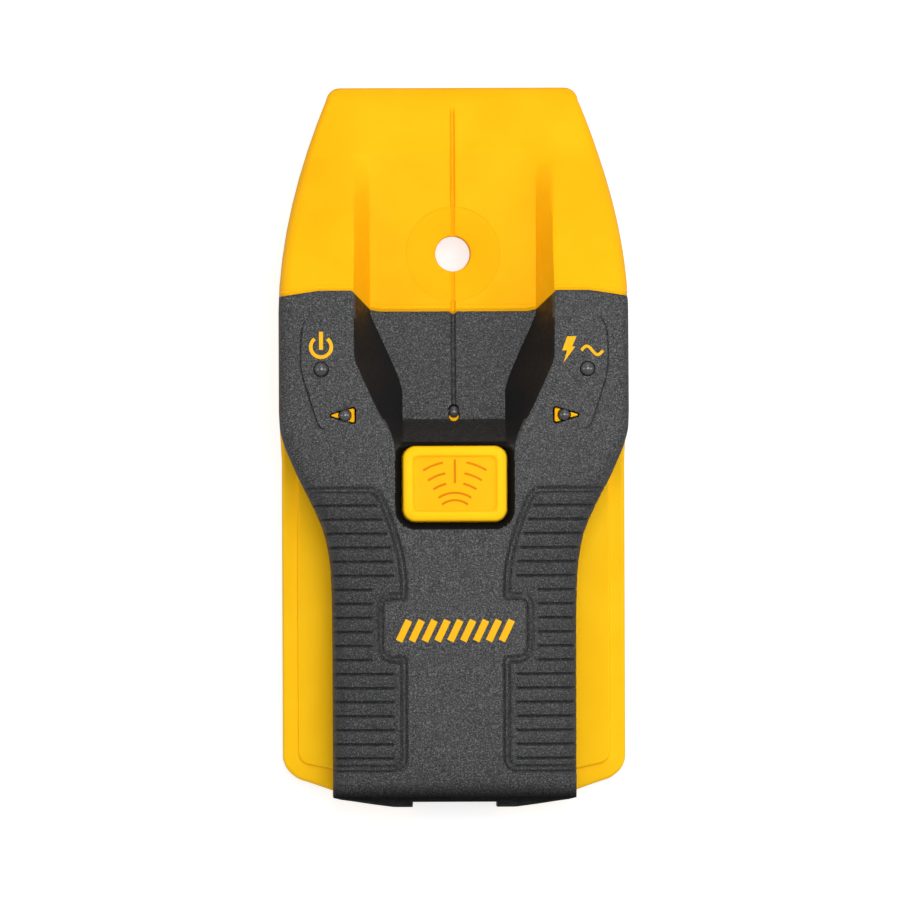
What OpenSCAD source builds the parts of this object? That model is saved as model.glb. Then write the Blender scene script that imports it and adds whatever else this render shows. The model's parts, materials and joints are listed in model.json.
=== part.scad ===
// Handheld stud finder: a yellow shell with a marking channel in its nose, a black textured
// cover over its middle and grip, a sprung scan button, and a 9 V battery behind a rear door.
// Millimetres. The back lies on Z = 0, +Z points away from the wall, +Y points to the nose.
// The origin is at the middle of the back.

/* [Housing] */
// Half width across the shoulders
half_w = 38.75; // [38.5:0.05:39]
// Thickness of the black textured cover
cover_t = 1.4; // [1.2:0.1:1.5]
// Thickness of the yellow front shell
shell_t = 1.8; // [1.6:0.1:1.9]
// Height of the parting line above the back
part_z = 6; // [5.8:0.1:6.2]
// Thickness of the rear cover's plate and rim
rear_t = 2; // [1.8:0.1:2.1]

/* [Marking hole] */
// Distance from the origin to the marking hole
mark_y = 43; // [42:0.5:44]
// Radius of the marking hole
mark_r = 3.9; // [3.5:0.1:4.1]
// Wall of the marking hole's tube
mark_wall = 1.6; // [1.2:0.1:1.8]
// Outer radius of the shallow dish around the marking hole
dish_r = 10.5; // [9:0.5:11]

/* [Scan button] */
// Width of the button
button_w = 23.1; // [21:0.1:23.5]
// Length of the button along the tool
button_l = 16.8; // [15:0.1:17]
// Position of the button's centre along the tool
button_y = -8.1; // [-8.5:0.1:-7.8]
// Travel of the button when it is pressed
button_travel = 1; // [0.5:0.1:1.2]
// Gap between the button and the shell
button_gap = 0.35; // [0.25:0.05:0.45]

/* [Indicators] */
// Distance of the two round lenses from the centre line
lamp_x = 29.55; // [29:0.05:30]
// Position of the two round lenses along the tool
lamp_y = 17.3; // [17:0.1:18]
// Radius of the two round lenses
lamp_r = 1.6; // [1.2:0.1:1.7]
// Distance of the two arrow lenses from the centre line
arrow_x = 24.7; // [24.4:0.1:25]
// Position of the two arrow lenses along the tool
arrow_y = 7.1; // [6.8:0.1:7.4]
// Radius of the two arrow lenses
arrow_r = 1.3; // [1:0.1:1.4]
// Position of the line lens along the tool
line_y = 8.1; // [7.8:0.1:8.4]

/* [Battery] */
// Width of the battery
battery_w = 26.5; // [26:0.1:26.5]
// Length of the battery's case without its terminals
battery_l = 46.4; // [46:0.1:46.5]
// Height of the battery
battery_h = 17.5; // [17:0.1:17.5]
// Width of the battery door
door_w = 28.4; // [28:0.1:28.6]

/* [Hidden] */
$fn = 48;

yellow = "#FBC41C";
black = "#3A3B3D";
smoke = "#4A4A4C";

// Small gap that keeps pieces of one assembly from sharing a face
seat = 0.05;
half_l = 80;
nose_r = 3;
dish_depth = 1.1;
wing_half = 38.1;
wing_edge_h = 2.3;
wing_h = 3.4;
wing_margin = 3.4;
// Longer than any piece is thick, for cuts that go right through
tall = 60;

// The front surface, from the nose to the tail.
// Height of the rims beside the channel, and of the grip's flat top
RIM_Z = [[-80, 16], [-79, 20], [-77, 23.6], [-74, 26.1], [-70, 27.4], [-62, 28.5], [-50, 29.5],
    [-35, 30.3], [-18, 30.9], [-8, 31], [0, 30.8], [8, 30.3], [18, 29.3], [27, 28], [35, 26.4],
    [43, 23.8], [50, 20.9], [57, 17.2], [65, 12.5], [72.5, 11.1], [77, 10], [79, 8.9], [80, 7.7]];
// Height of the channel's floor, which meets the rims near the nose and rises to the button
FLOOR_Z = [[0.6, 40], [0.9, 30.2], [6.1, 19.5], [30, 13.8], [43, 12.9], [57, 12.4], [72.5, 12.2],
    [80, 12.2]];
// Half width of the channel's floor
FOOT_X = [[0.8, 11.4], [12.2, 11.4], [14.9, 12.1], [21.1, 14.7], [29.5, 18.4], [80, 18.5]];
// Half width between the channel's rims; on the grip it is the edge of the flat top
RIM_X = [[-80, 10.8], [-33, 10.8], [-20, 12.6], [0.3, 13.8], [10.3, 18.1], [17.9, 21.5],
    [20, 22.2], [80, 22.1]];
// Half width of the black middle and grip below the shoulders
WAIST_X = [[-80, 13.7], [-79.4, 18], [-78.7, 22.5], [-77.9, 27], [-38.2, 27.1], [-25.6, 27.5],
    [-21.4, 28.3], [-4.6, 35.5], [1, 37.8], [3.4, 38.5], [8, 38.75]];
// How far the surface falls from the rims to the start of the rounded shoulder
FALL_Z = [[-80, 0.2], [-74, 1.2], [-40, 2.4], [-15, 2.2], [5, 1.6], [35, 1.6], [60, 1.2],
    [80, 0.2]];
// Radius of the shoulder between the top and the side
SHOULDER_R = [[-80, 2], [-74, 5.5], [-20, 6], [5, 3], [35, 3], [60, 2.4], [80, 1.2]];
// Places along the tool where the surface is worked out
STATIONS = [80, 79.5, 78.6, 77, 72.5, 65, 57, 50, 43, 35, 30, 24, 18, 12, 6.1, 3.4, 0.9, 0.5, -1.9,
    -4.6, -10, -15.8, -21.4, -25.6, -38.2, -50, -62, -70, -74, -77, -77.9, -78.7, -79.4, -80];
CAVITY_FROM = 72.5;
CAVITY_TO = -77.9;
COVER_FROM = 43;
SEAM_Y = 34.8;

// Half width of the nose and shoulders at a place along the tool
function nose_half(y) =
    y > half_l - nose_r
    ? 25 + sqrt(max(0, nose_r * nose_r - pow(y - half_l + nose_r, 2)))
    : half_w - 0.00926 * pow(max(0, y - 30), 1.83);

function body_half(y) = y > 8 ? nose_half(y) : min(half_w, lookup(y, WAIST_X));

// Right half of the cross-section, set back by t, as [x, z] from the middle to the parting line
function half_section(y, t) =
    let (
        w = body_half(y) - t,
        shift = y > 0 ? 0.73 * t : 0,
        rim = min(lookup(y, RIM_X) + shift, w - 2),
        foot = min(lookup(y, FOOT_X) + shift, rim - 0.8),
        h = lookup(y, RIM_Z) - t,
        // The steep rise to the button is set back along the tool too
        floor_z = min(h, lookup(y + 0.75 * t, FLOOR_Z) - t),
        r = min(lookup(y, SHOULDER_R), (w - rim) * 0.8),
        d = lookup(y, FALL_Z)
    )
    concat(
        [[0, floor_z], [foot, floor_z], [rim, h], [(rim + w - r) / 2, h - 0.35 * d]],
        [for (a = [90:-22.5:0]) [w - r + r * cos(a), h - d - r + r * sin(a)]]
    );

// Height of the front surface at a point, set back by t
function front_z(x, y, t) = lookup(abs(x), half_section(y, t));

// Height of a boss that ends inside the front shell
function boss_top(p) = front_z(p[0], p[1], p[1] > SEAM_Y ? shell_t / 2 : cover_t + shell_t / 2);

// Closed ring of one cross-section, down to z0
function ring(y, t, z0) =
    let (
        half = concat(half_section(y, t), [[body_half(y) - t, z0]]),
        n = len(half)
    )
    concat(
        [for (i = [n - 1:-1:1]) [-half[i][0], half[i][1]]],
        half
    );

// The front form, set back by t, between two places along the tool and down to z0
module front_form(t, from_y, to_y, z0) {
    ys = [for (y = STATIONS) if (y <= from_y && y >= to_y) y];
    rings = [for (y = ys) [for (p = ring(y, t, z0)) [p[0], y * (1 - t / half_l), p[1]]]];
    n = len(rings[0]);
    last = (len(ys) - 1) * n;
    middle = floor(n / 2);
    sides = [for (j = [0:len(ys) - 2], i = [0:n - 1])
        let (a = j * n + i, b = j * n + (i + 1) % n)
        for (face = [[a, b, b + n], [a, b + n, a + n]]) face];
    // Each end is two fans, from the lower corners, and the triangle between them
    cap = concat(
        [for (i = [1:middle - 1]) [0, i + 1, i]],
        [for (i = [middle:n - 3]) [n - 1, i + 1, i]],
        [[0, n - 1, middle]]
    );
    far_cap = [for (c = cap) [last + c[0], last + c[2], last + c[1]]];
    polyhedron([for (r = rings) each r], concat(sides, cap, far_cap), convexity = 8);
}

// Rounded corner of a wing at the tail: distance in from the wing's side, and place along the tool
WING_CORNER = [[0.4, -70.6], [1.1, -71.8], [2.1, -72.8], [3.6, -73.8], [6.6, -74.8]];
// The finger notch in the tail
notch_half = 9.4;
notch_y = -78.8;

// Outline of the back, with the wings beside the grip and the finger notch in the tail
function base_half_outline() = concat(
    [for (y = [80, 79.6, 78.6, 77, 72, 66, 60, 54, 48, 42, 36, 30]) [nose_half(y), y]],
    [[half_w, 8], [38.4, 3], [wing_half, -3], [wing_half, -69.3]],
    [for (p = WING_CORNER) [wing_half - p[0], p[1]]],
    [[27, -76.4], [27, -77.9], [22.5, -78.7], [18, -79.4], [13.7, -80]],
    [[notch_half, -80], [notch_half, notch_y]]
);

module base_outline() {
    right = base_half_outline();
    polygon(concat(right, [for (i = [len(right) - 1:-1:0]) [-right[i][0], right[i][1]]]));
}

// Plan of the black cover: below the seam across the channel, round the tail
module cover_plan(grow) {
    seam = [[0, 30.2], [18, 30.2], [22.7, SEAM_Y], [30, SEAM_Y], [50, 32.2]];
    translate([0, grow])
        polygon(concat(
            seam, [[50, -90], [-50, -90]],
            [for (i = [len(seam) - 1:-1:1]) [-seam[i][0], seam[i][1]]]
        ));
}

module both_sides() {
    children();
    mirror([1, 0, 0]) children();
}

module rounded_rect(w, l, r) {
    for (x = [-1, 1], y = [-1, 1])
        translate([x * (w / 2 - r), y * (l / 2 - r)]) circle(r);
    square([w - 2 * r, l], center = true);
    square([w, l - 2 * r], center = true);
}

// Places that the pieces share
button_r = 2.8;
button_top = 30.5;
button_edge = 0.8;
button_stem_r = 2.2;
flange_top = 27.2;
flange_t = 1;
flange_w = 1.2;
board_z = 7;
board_t = 1.6;
board_top = board_z + board_t;
sensor_z = 2.6;
plate_t = 0.4;
switch_h = 3.5;
plunger_top = 17;
plunger_r = 1.75;
led_r = 1.5;
led_h = 5.4;
lens_gap = 0.1;
lens_seat = board_top + led_h + 0.2;
HOUSING_SCREWS = [[24, 60], [30.5, 30.5], [20.5, -60]];
screw_r = 1.3;
screw_l = 11.5;
screw_head_r = 2.7;
screw_head_h = 2.1;
screw_head_z = 0.6;
boss_r = 3;
rear_boss_r = 3.8;
BOARD_SCREWS = [[27.5, 23], [21, -12]];
board_screw_r = 0.9;
board_screw_l = 7.5;
board_screw_head_r = 1.8;
board_screw_head_h = 1.3;
post_r = 2.2;

// The rear door and its hinge
hinge_y = -21;
hinge_z = 1.6;
hinge_r = 0.7;
hinge_gap = 0.05;
barrel_r = 1.2;
door_t = 1.8;
door_gap = 0.3;
door_end = -76.8;
latch_h = 5.6;
groove_depth = 0.5;
pin_len = 1.3;
bay_wall = 1.5;
bay_top = 17.5;
bay_half = door_w / 2 + door_gap;
bay_front = hinge_y + 1.9;
bay_back = -72.5;
lead_slot = 6;
// Socket in the rear cover that takes the end of the marking hole's tube
socket_h = 3.4;
door_hole_end = door_end - door_gap;
battery_z = 2.8;
pad_w = 18;
pad_l = 26;
battery_y0 = -71.9;
terminal_r = 3.4;
terminal_x = 6.35;
terminal_z = battery_z + battery_h / 2;

// The wings beside the grip: a thin margin with a raised platform inside it
module wings() {
    linear_extrude(wing_edge_h)
        intersection() {
            base_outline();
            translate([-50, -76]) square([100, 82]);
        }
    linear_extrude(wing_h)
        intersection() {
            offset(delta = -wing_margin) base_outline();
            translate([-50, -72]) square([100, 76]);
        }
}

// Openings that both layers of the front share: button and lenses
module front_openings() {
    translate([0, button_y, 15])
        linear_extrude(tall)
            rounded_rect(button_w + 2 * button_gap, button_l + 2 * button_gap,
                button_r + button_gap);
    both_sides() {
        translate([lamp_x, lamp_y, board_top]) cylinder(h = tall, r = lamp_r + lens_gap);
        translate([arrow_x, arrow_y, board_top]) cylinder(h = tall, r = arrow_r + lens_gap);
    }
    translate([0, line_y, board_top]) cylinder(h = tall, r = 1.2 + lens_gap);
}

module front_shell() {
    inset = cover_t + seat;
    cavity = cover_t + shell_t + seat;
    floor_z = front_z(0, mark_y, 0);
    color(yellow)
        difference() {
            union() {
                difference() {
                    union() {
                        difference() {
                            front_form(0, 80, -80, part_z + seat);
                            translate([0, 0, part_z - 1]) linear_extrude(tall) cover_plan(seat);
                        }
                        front_form(inset, COVER_FROM, -80, part_z + seat);
                        translate([0, 0, part_z + seat]) wings();
                    }
                    front_form(cavity, CAVITY_FROM, CAVITY_TO, part_z - 1);
                    front_form(shell_t, CAVITY_FROM, COVER_FROM, part_z - 1);
                }
                translate([0, mark_y]) cylinder(h = floor_z - 0.5, r = mark_r + mark_wall);
                both_sides() {
                    for (p = HOUSING_SCREWS)
                        translate([p[0], p[1], part_z + seat])
                            cylinder(h = boss_top(p) - part_z, r = boss_r);
                    for (p = BOARD_SCREWS)
                        translate([p[0], p[1], board_top + seat])
                            cylinder(h = boss_top(p) - board_top, r = post_r);
                }
            }
            translate([0, mark_y, -1]) cylinder(h = tall, r = mark_r);
            translate([0, mark_y, floor_z - dish_depth])
                cylinder(h = dish_depth + 0.1, r1 = mark_r + 1, r2 = dish_r + 0.5);
            both_sides() {
                for (p = HOUSING_SCREWS)
                    translate([p[0], p[1], 0])
                        cylinder(h = screw_head_z + screw_l + 1, r = screw_r + seat);
                for (p = BOARD_SCREWS)
                    translate([p[0], p[1], 0])
                        cylinder(h = board_z + board_screw_l, r = board_screw_r + seat);
            }
            front_openings();
            notch();
        }
}

// The finger notch through the tail
module notch() {
    translate([-notch_half, -90, -1]) cube([2 * notch_half, 90 + notch_y, tall]);
}

module grip_cover() {
    color(black)
        difference() {
            intersection() {
                difference() {
                    front_form(0, 80, -80, part_z + seat);
                    front_form(cover_t, COVER_FROM, -80, part_z - 1);
                }
                translate([0, 0, part_z]) linear_extrude(tall) cover_plan(0);
            }
            for (z = [part_z - 1, part_z + 2 * seat])
                translate([0, 0, z]) wings();
            front_openings();
            arrow_windows();
            notch();
        }
}

// Arrow-shaped windows around the two arrow lenses
module arrow_windows() {
    both_sides()
        translate([arrow_x, arrow_y, 20])
            linear_extrude(tall)
                polygon([[3.2, 0.1], [-1.6, 2], [-2.9, 1.2], [-2.9, -1.2], [-1.6, -2]]);
}

module rear_cover() {
    color(yellow)
        difference() {
            union() {
                difference() {
                    linear_extrude(part_z) base_outline();
                    translate([0, 0, rear_t])
                        linear_extrude(part_z) offset(delta = -rear_t) base_outline();
                }
                both_sides() {
                    for (p = HOUSING_SCREWS)
                        translate([p[0], p[1], 0]) cylinder(h = part_z, r = rear_boss_r);
                    translate([bay_half, bay_back - bay_wall, 0])
                        cube([bay_wall, bay_front - bay_back + 2 * bay_wall, bay_top]);
                }
                for (y = [bay_front, bay_back - bay_wall])
                    translate([-bay_half, y, 0]) cube([2 * bay_half, bay_wall, bay_top]);
                translate([0, mark_y]) cylinder(h = socket_h, r = mark_r + mark_wall + rear_t);
            }
            translate([0, mark_y, -1]) cylinder(h = tall, r = mark_r + mark_wall + seat);
            translate([-bay_half, bay_back, -1])
                cube([2 * bay_half, bay_front - bay_back, tall]);
            // The door's opening reaches past the bay, and out through the finger notch
            translate([-bay_half, door_hole_end, -1])
                cube([2 * bay_half, bay_front - door_hole_end, door_t + door_gap + 1]);
            translate([-notch_half, -90, -1])
                cube([2 * notch_half, 90 + bay_back - bay_wall, part_z + 2]);
            both_sides() {
                for (p = HOUSING_SCREWS)
                    translate([p[0], p[1], -1]) {
                        cylinder(h = tall, r = screw_r + 0.2);
                        cylinder(h = 1 + screw_head_z + screw_head_h, r = screw_head_r + 0.3);
                    }
                translate([bay_half - 1, hinge_y, hinge_z])
                    rotate([0, 90, 0])
                        cylinder(h = 1 + pin_len + 2 * hinge_gap, r = hinge_r + hinge_gap);
            }
            // Way out for the battery leads
            translate([-lead_slot / 2, bay_front - 1, 9]) cube([lead_slot, 2 * bay_wall, tall]);
        }
}

module battery_door() {
    half = door_w / 2;
    color(black)
        difference() {
            union() {
                translate([-half, door_end, 0]) cube([2 * half, hinge_y - 1 - door_end, door_t]);
                translate([-half, hinge_y - 1.6, 0.6]) cube([2 * half, 1.6, door_t - 0.6]);
                translate([-half, hinge_y, hinge_z])
                    rotate([0, 90, 0]) cylinder(h = 2 * half, r = barrel_r);
                translate([-half - pin_len, hinge_y, hinge_z])
                    rotate([0, 90, 0]) cylinder(h = 2 * (half + pin_len), r = hinge_r);
                // Latch tongue in the finger notch
                translate([1 - notch_half, notch_y, 0])
                    cube([2 * notch_half - 2, door_end - notch_y + 0.1, latch_h]);
            }
            // Grip grooves across the outside, at the tail end
            for (i = [0:4])
                translate([-8, door_end + 3 + 2 * i, -1]) cube([16, 0.9, 1 + groove_depth]);
        }
}

module battery_pad() {
    color("dimgray")
        translate([-pad_w / 2, -62, door_t])
            cube([pad_w, pad_l, battery_z - seat - door_t]);
}

module scan_button() {
    color(yellow)
        translate([0, button_y]) {
            difference() {
                union() {
                    translate([0, 0, flange_top - flange_t])
                        linear_extrude(button_top - button_edge - flange_top + flange_t)
                            rounded_rect(button_w, button_l, button_r);
                    translate([0, 0, button_top - button_edge])
                        linear_extrude(button_edge)
                            rounded_rect(button_w - 2 * button_edge, button_l - 2 * button_edge,
                                button_r - button_edge);
                    // The flange leaves the end beside the channel free
                    translate([0, -2.6, flange_top - flange_t])
                        linear_extrude(flange_t)
                            rounded_rect(button_w + 2 * flange_w, button_l - 2.8, button_r);
                }
                // The sunken panel on top, and the hollow underneath
                translate([0, 0, button_top - 0.35])
                    linear_extrude(1) rounded_rect(button_w - 4.8, button_l - 4.4, 1.5);
                translate([0, 0, flange_top - 2])
                    linear_extrude(2.6) rounded_rect(button_w - 3, button_l - 3, 1.5);
            }
            translate([0, 0, plunger_top + seat])
                cylinder(h = button_top - 2 - plunger_top, r = button_stem_r);
        }
}

module switch_body() {
    color("#2B2B2D")
        difference() {
            translate([-3, button_y - 3, board_top + seat]) cube([6, 6, switch_h]);
            translate([0, button_y, board_top + 1]) cylinder(h = 10, r = plunger_r + seat);
        }
}

module switch_plunger() {
    color("#3C3C3F")
        translate([0, button_y, board_top + 1 + button_travel + seat])
            cylinder(h = plunger_top - board_top - 1 - button_travel - seat, r = plunger_r);
}

module main_board() {
    color("#1E6B3A")
        translate([0, 0, board_z])
            difference() {
                linear_extrude(board_t)
                    polygon([[-32, 26], [32, 26], [32, 0], [25, -16], [-25, -16], [-32, 0]]);
                both_sides()
                    for (p = BOARD_SCREWS)
                        translate([p[0], p[1], -1])
                            cylinder(h = board_t + 2, r = board_screw_r + 0.2);
            }
}

// A flat block that stands on the main board
module on_board(x, y, w, l, h) {
    translate([x - w / 2, y - l / 2, board_top + seat]) cube([w, l, h]);
}

module controller_chip() {
    color("#232325") on_board(0, 16, 10, 10, 1.3);
}

module amplifier_chip() {
    color("#232325") on_board(11.5, 3.5, 5, 4, 1.4);
}

module board_passives() {
    color("#B89A6A") {
        for (i = [0:4])
            on_board(-11, 3 + 2.4 * i, 2, 1.2, 0.7);
        for (i = [0:4])
            on_board(9.5, 9.5 + 2.4 * i, 2, 1.2, 0.7);
        for (i = [0:3])
            on_board(-4.5 + 3 * i, 24.5, 1.2, 2, 0.7);
    }
}

module filter_capacitor() {
    color("#30323A") translate([14.5, -4, board_top + seat]) cylinder(h = 8, r = 3.15);
}

module piezo_buzzer() {
    color("#1C1C1E")
        translate([-15.5, -4, board_top + seat])
            difference() {
                cylinder(h = 4.5, r = 6);
                translate([0, 0, 3.5]) cylinder(h = 2, r = 1);
            }
}

module board_header() {
    z0 = sensor_z + board_t + seat;
    color("#1C1C1E")
        translate([-10, 21, z0]) cube([20, 2.5, board_z - seat - z0]);
}

// The board that holds the copper sensor plates against the inside of the back
module sensor_board() {
    color("#1E6B3A")
        translate([0, 0, sensor_z])
            difference() {
                translate([-19.5, 12, 0]) cube([39, 60, board_t]);
                translate([0, mark_y, -1])
                    cylinder(h = board_t + 2, r = mark_r + mark_wall + rear_t + 0.4);
            }
}

module sensor_plates() {
    color("#C9853C")
        for (x = [-12.5, 12.5])
            translate([x - 5, 16, sensor_z - plate_t - seat]) cube([10, 50, plate_t]);
}

module led(x, y, tint) {
    color(tint)
        translate([x, y, board_top + seat]) {
            cylinder(h = 1, r = led_r + 0.4);
            cylinder(h = led_h - led_r, r = led_r);
            translate([0, 0, led_h - led_r]) sphere(led_r);
        }
}

// A light pipe that ends in a low dome at the surface
module light_pipe(x, y, r, z0) {
    z1 = front_z(x, y, 0) - 0.4;
    color(smoke)
        translate([x, y, 0]) {
            translate([0, 0, z0]) cylinder(h = z1 - z0, r = r);
            intersection() {
                translate([0, 0, z1 + 0.8 - r * 1.2]) sphere(r * 1.2);
                translate([0, 0, z1 - 0.2]) cylinder(h = 3, r = r);
            }
        }
}

module power_led() led(-lamp_x, lamp_y, "limegreen");
module ac_led() led(lamp_x, lamp_y, "red");
module left_arrow_led() led(-arrow_x, arrow_y, "red");
module right_arrow_led() led(arrow_x, arrow_y, "red");
module line_led() {
    color("white") on_board(0, line_y, 3, 1.6, 1);
}
module power_lens() light_pipe(-lamp_x, lamp_y, lamp_r, lens_seat);
module ac_lens() light_pipe(lamp_x, lamp_y, lamp_r, lens_seat);
module left_arrow_lens() light_pipe(-arrow_x, arrow_y, arrow_r, lens_seat);
module right_arrow_lens() light_pipe(arrow_x, arrow_y, arrow_r, lens_seat);
module line_lens() light_pipe(0, line_y, 1.2, board_top + 1.3);

module battery_case() {
    color("#2A2C30")
        translate([0, battery_y0 + battery_l, battery_z + battery_h / 2])
            rotate([90, 0, 0])
                linear_extrude(battery_l) rounded_rect(battery_w, battery_h, 2);
}

module battery_terminals() {
    color("#C9A45A")
        for (x = [-terminal_x, terminal_x])
            translate([x, battery_y0 + battery_l + seat, terminal_z])
                rotate([-90, 0, 0]) cylinder(h = 2, r = x < 0 ? terminal_r : terminal_r - 0.5);
}

module battery_snap() {
    y0 = battery_y0 + battery_l + 2.1;
    color("#1C1C1E")
        difference() {
            translate([-12.8, y0 - 1.2, terminal_z - 6]) cube([25.6, 3.6, 12]);
            for (x = [-terminal_x, terminal_x])
                translate([x, y0 - 2, terminal_z])
                    rotate([-90, 0, 0]) cylinder(h = 2 + seat, r = terminal_r + 0.2);
        }
}

// Routes of the two battery leads, from the snap to the main board
POSITIVE_ROUTE = [[2.2, -20.9, 14], [2.2, -20.2, 14.1], [2.2, -19, 14.4], [2.3, -17.6, 14.2],
    [2.8, -16.6, 13.1], [3.8, -15.8, 11.6], [4.8, -15.2, 10.2], [5, -15, 8.7]];
NEGATIVE_ROUTE = [for (p = POSITIVE_ROUTE) [-p[0], p[1], p[2]]];
lead_r = 0.65;

// A round lead swept along a route
module lead(route) {
    sides = 8;
    n = len(route);
    rings = [for (i = [0:n - 1])
        let (
            d = route[min(i + 1, n - 1)] - route[max(i - 1, 0)],
            u = cross(d, [1, 0, 0]) / norm(cross(d, [1, 0, 0])),
            v = cross(d, u) / norm(cross(d, u))
        )
        [for (k = [0:sides - 1])
            route[i] + lead_r * (cos(k * 360 / sides) * u + sin(k * 360 / sides) * v)]];
    skin = [for (i = [0:n - 2], k = [0:sides - 1])
        let (a = i * sides + k, b = i * sides + (k + 1) % sides)
        for (face = [[a, b + sides, b], [a, a + sides, b + sides]]) face];
    first = [for (k = [1:sides - 2]) [0, k, k + 1]];
    end = (n - 1) * sides;
    final = [for (k = [1:sides - 2]) [end, end + k + 1, end + k]];
    polyhedron([for (r = rings) each r], concat(skin, first, final));
}

module positive_lead() {
    color("red") lead(POSITIVE_ROUTE);
}

module negative_lead() {
    color("#202022") lead(NEGATIVE_ROUTE);
}

// A cross-head screw that points away from the wall
module screw(head_z, head_r, head_h, r, l) {
    translate([0, 0, head_z])
        difference() {
            union() {
                cylinder(h = head_h, r = head_r);
                cylinder(h = l, r = r);
            }
            for (a = [0, 90])
                rotate(a) translate([-head_r * 0.6, -0.35, -1]) cube([head_r * 1.2, 0.7, 1.9]);
        }
}

module housing_screws() {
    color("silver")
        both_sides()
            for (p = HOUSING_SCREWS)
                translate([p[0], p[1], 0])
                    screw(screw_head_z, screw_head_r, screw_head_h, screw_r, screw_l);
}

module board_screws() {
    color("silver")
        both_sides()
            for (p = BOARD_SCREWS)
                translate([p[0], p[1], 0])
                    screw(board_z - board_screw_head_h - seat, board_screw_head_r,
                        board_screw_head_h, board_screw_r, board_screw_l);
}

front_shell();
grip_cover();
rear_cover();
battery_door();
battery_pad();
scan_button();
switch_body();
switch_plunger();
main_board();
controller_chip();
amplifier_chip();
board_passives();
filter_capacitor();
piezo_buzzer();
board_header();
sensor_board();
sensor_plates();
power_led();
ac_led();
left_arrow_led();
right_arrow_led();
line_led();
power_lens();
ac_lens();
left_arrow_lens();
right_arrow_lens();
line_lens();
battery_case();
battery_terminals();
battery_snap();
positive_lead();
negative_lead();
housing_screws();
board_screws();
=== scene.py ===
"""Looks of the stud finder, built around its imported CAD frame.

Shapes are worked out in millimetres in the CAD frame and written to meshes in metres. The front
surface follows the same section tables as the CAD part, sampled finely, with the ribs, creases,
dish and bevels added as real geometry.
"""

import json
import math

import bmesh
import bpy
import numpy as np
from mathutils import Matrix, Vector


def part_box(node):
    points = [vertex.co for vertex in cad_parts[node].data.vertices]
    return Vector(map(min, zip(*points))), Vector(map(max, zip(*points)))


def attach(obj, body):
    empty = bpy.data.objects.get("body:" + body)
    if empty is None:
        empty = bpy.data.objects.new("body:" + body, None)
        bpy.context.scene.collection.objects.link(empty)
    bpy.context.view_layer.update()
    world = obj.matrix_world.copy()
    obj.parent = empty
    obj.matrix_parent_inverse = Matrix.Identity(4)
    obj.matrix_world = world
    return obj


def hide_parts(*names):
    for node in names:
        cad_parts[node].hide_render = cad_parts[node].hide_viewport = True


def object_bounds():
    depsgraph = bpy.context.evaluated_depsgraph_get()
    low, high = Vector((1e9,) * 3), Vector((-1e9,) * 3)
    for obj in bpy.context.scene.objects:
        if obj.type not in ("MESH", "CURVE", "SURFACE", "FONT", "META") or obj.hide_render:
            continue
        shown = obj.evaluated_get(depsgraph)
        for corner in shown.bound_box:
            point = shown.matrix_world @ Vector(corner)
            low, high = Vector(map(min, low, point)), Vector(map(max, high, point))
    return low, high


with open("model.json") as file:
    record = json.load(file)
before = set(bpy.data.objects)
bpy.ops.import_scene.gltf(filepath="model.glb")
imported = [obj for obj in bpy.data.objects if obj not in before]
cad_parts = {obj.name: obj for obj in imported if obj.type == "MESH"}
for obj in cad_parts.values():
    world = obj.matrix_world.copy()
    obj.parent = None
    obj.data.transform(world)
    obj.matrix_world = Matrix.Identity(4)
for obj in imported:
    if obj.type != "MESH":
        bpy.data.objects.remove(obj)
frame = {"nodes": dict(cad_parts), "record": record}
CAD_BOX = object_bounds()
MM = 0.001


def box_mm(node):
    """Lowest and highest corner of a CAD node, in millimetres."""
    low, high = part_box(node)
    return np.array(low) / MM, np.array(high) / MM


def middle_mm(node):
    """X and Y of the middle of a CAD node, in millimetres."""
    low, high = box_mm(node)
    return (low[:2] + high[:2]) / 2


# Sizes and places taken from the frame
HALF_W = CAD_BOX[1][0] / MM
HALF_L = CAD_BOX[1][1] / MM
BUTTON_TOP = box_mm("scan_button")[1][2]
LAMP_X, LAMP_Y = middle_mm("ac_lens")
ARROW_X, ARROW_Y = middle_mm("right_arrow_lens")
LINE_Y = middle_mm("line_lens")[1]
MARK = next(m for m in frame["record"]["mounts"] if m["name"] == "marking_hole")
MARK_R = MARK["dims"]["r_mm"]
MARK_Y = MARK["pos_m"][1] / MM

# Thickness of the black cover and of the yellow shell, and the gap between them
COVER_T = 1.4
SHELL_T = 1.8
SEAT = 0.05
# Heights of the parting line, and of the wings at their edge and on their raised part
PART_Z = 6.05
WING_EDGE_Z = 8.35
WING_Z = 9.45
# The button's cap, and the dark bezel that slopes down to it
BUTTON_W, BUTTON_L, BUTTON_R = 23.1, 16.8, 2.8
BUTTON_Y = -8.1
BUTTON_GAP = 0.22
BEZEL_DEPTH = 2.9
BEZEL_SLOPE = 2.3
# How far the arrow lamps' domes and windows sit inboard of the middle of their CAD lenses
DOME_INBOARD = 0.38
WINDOW_INBOARD = 0.15
# Heights between which the cutters of the front face run
CUT_LOW, CUT_HIGH = 20, 60
# Window of the line lamp: its two ends along Y from LINE_Y, and its radius
SLOT_LOW, SLOT_HIGH, SLOT_R = -2.5, 1.45, 1.25
# Notch in the middle of the tail
NOTCH_HALF = 9.4
NOTCH_Y = -78.8
# The seam between nose and cover: straight across the channel at SEAM_Y, then through these
# places, with a small tab down into the aiming groove
SEAM_Y = 30.2
SEAM_XS, SEAM_YS = (18.0, 22.7, 30.0, 38.7), (SEAM_Y, 34.8, 34.8, 33.5)
TAB_R, TAB_LENGTH = 0.7, 0.55
# The cone round the marking hole
DISH_R = 10.5
DISH_DEPTH = 1.1


# ---------------------------------------------------------------- front surface

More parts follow.
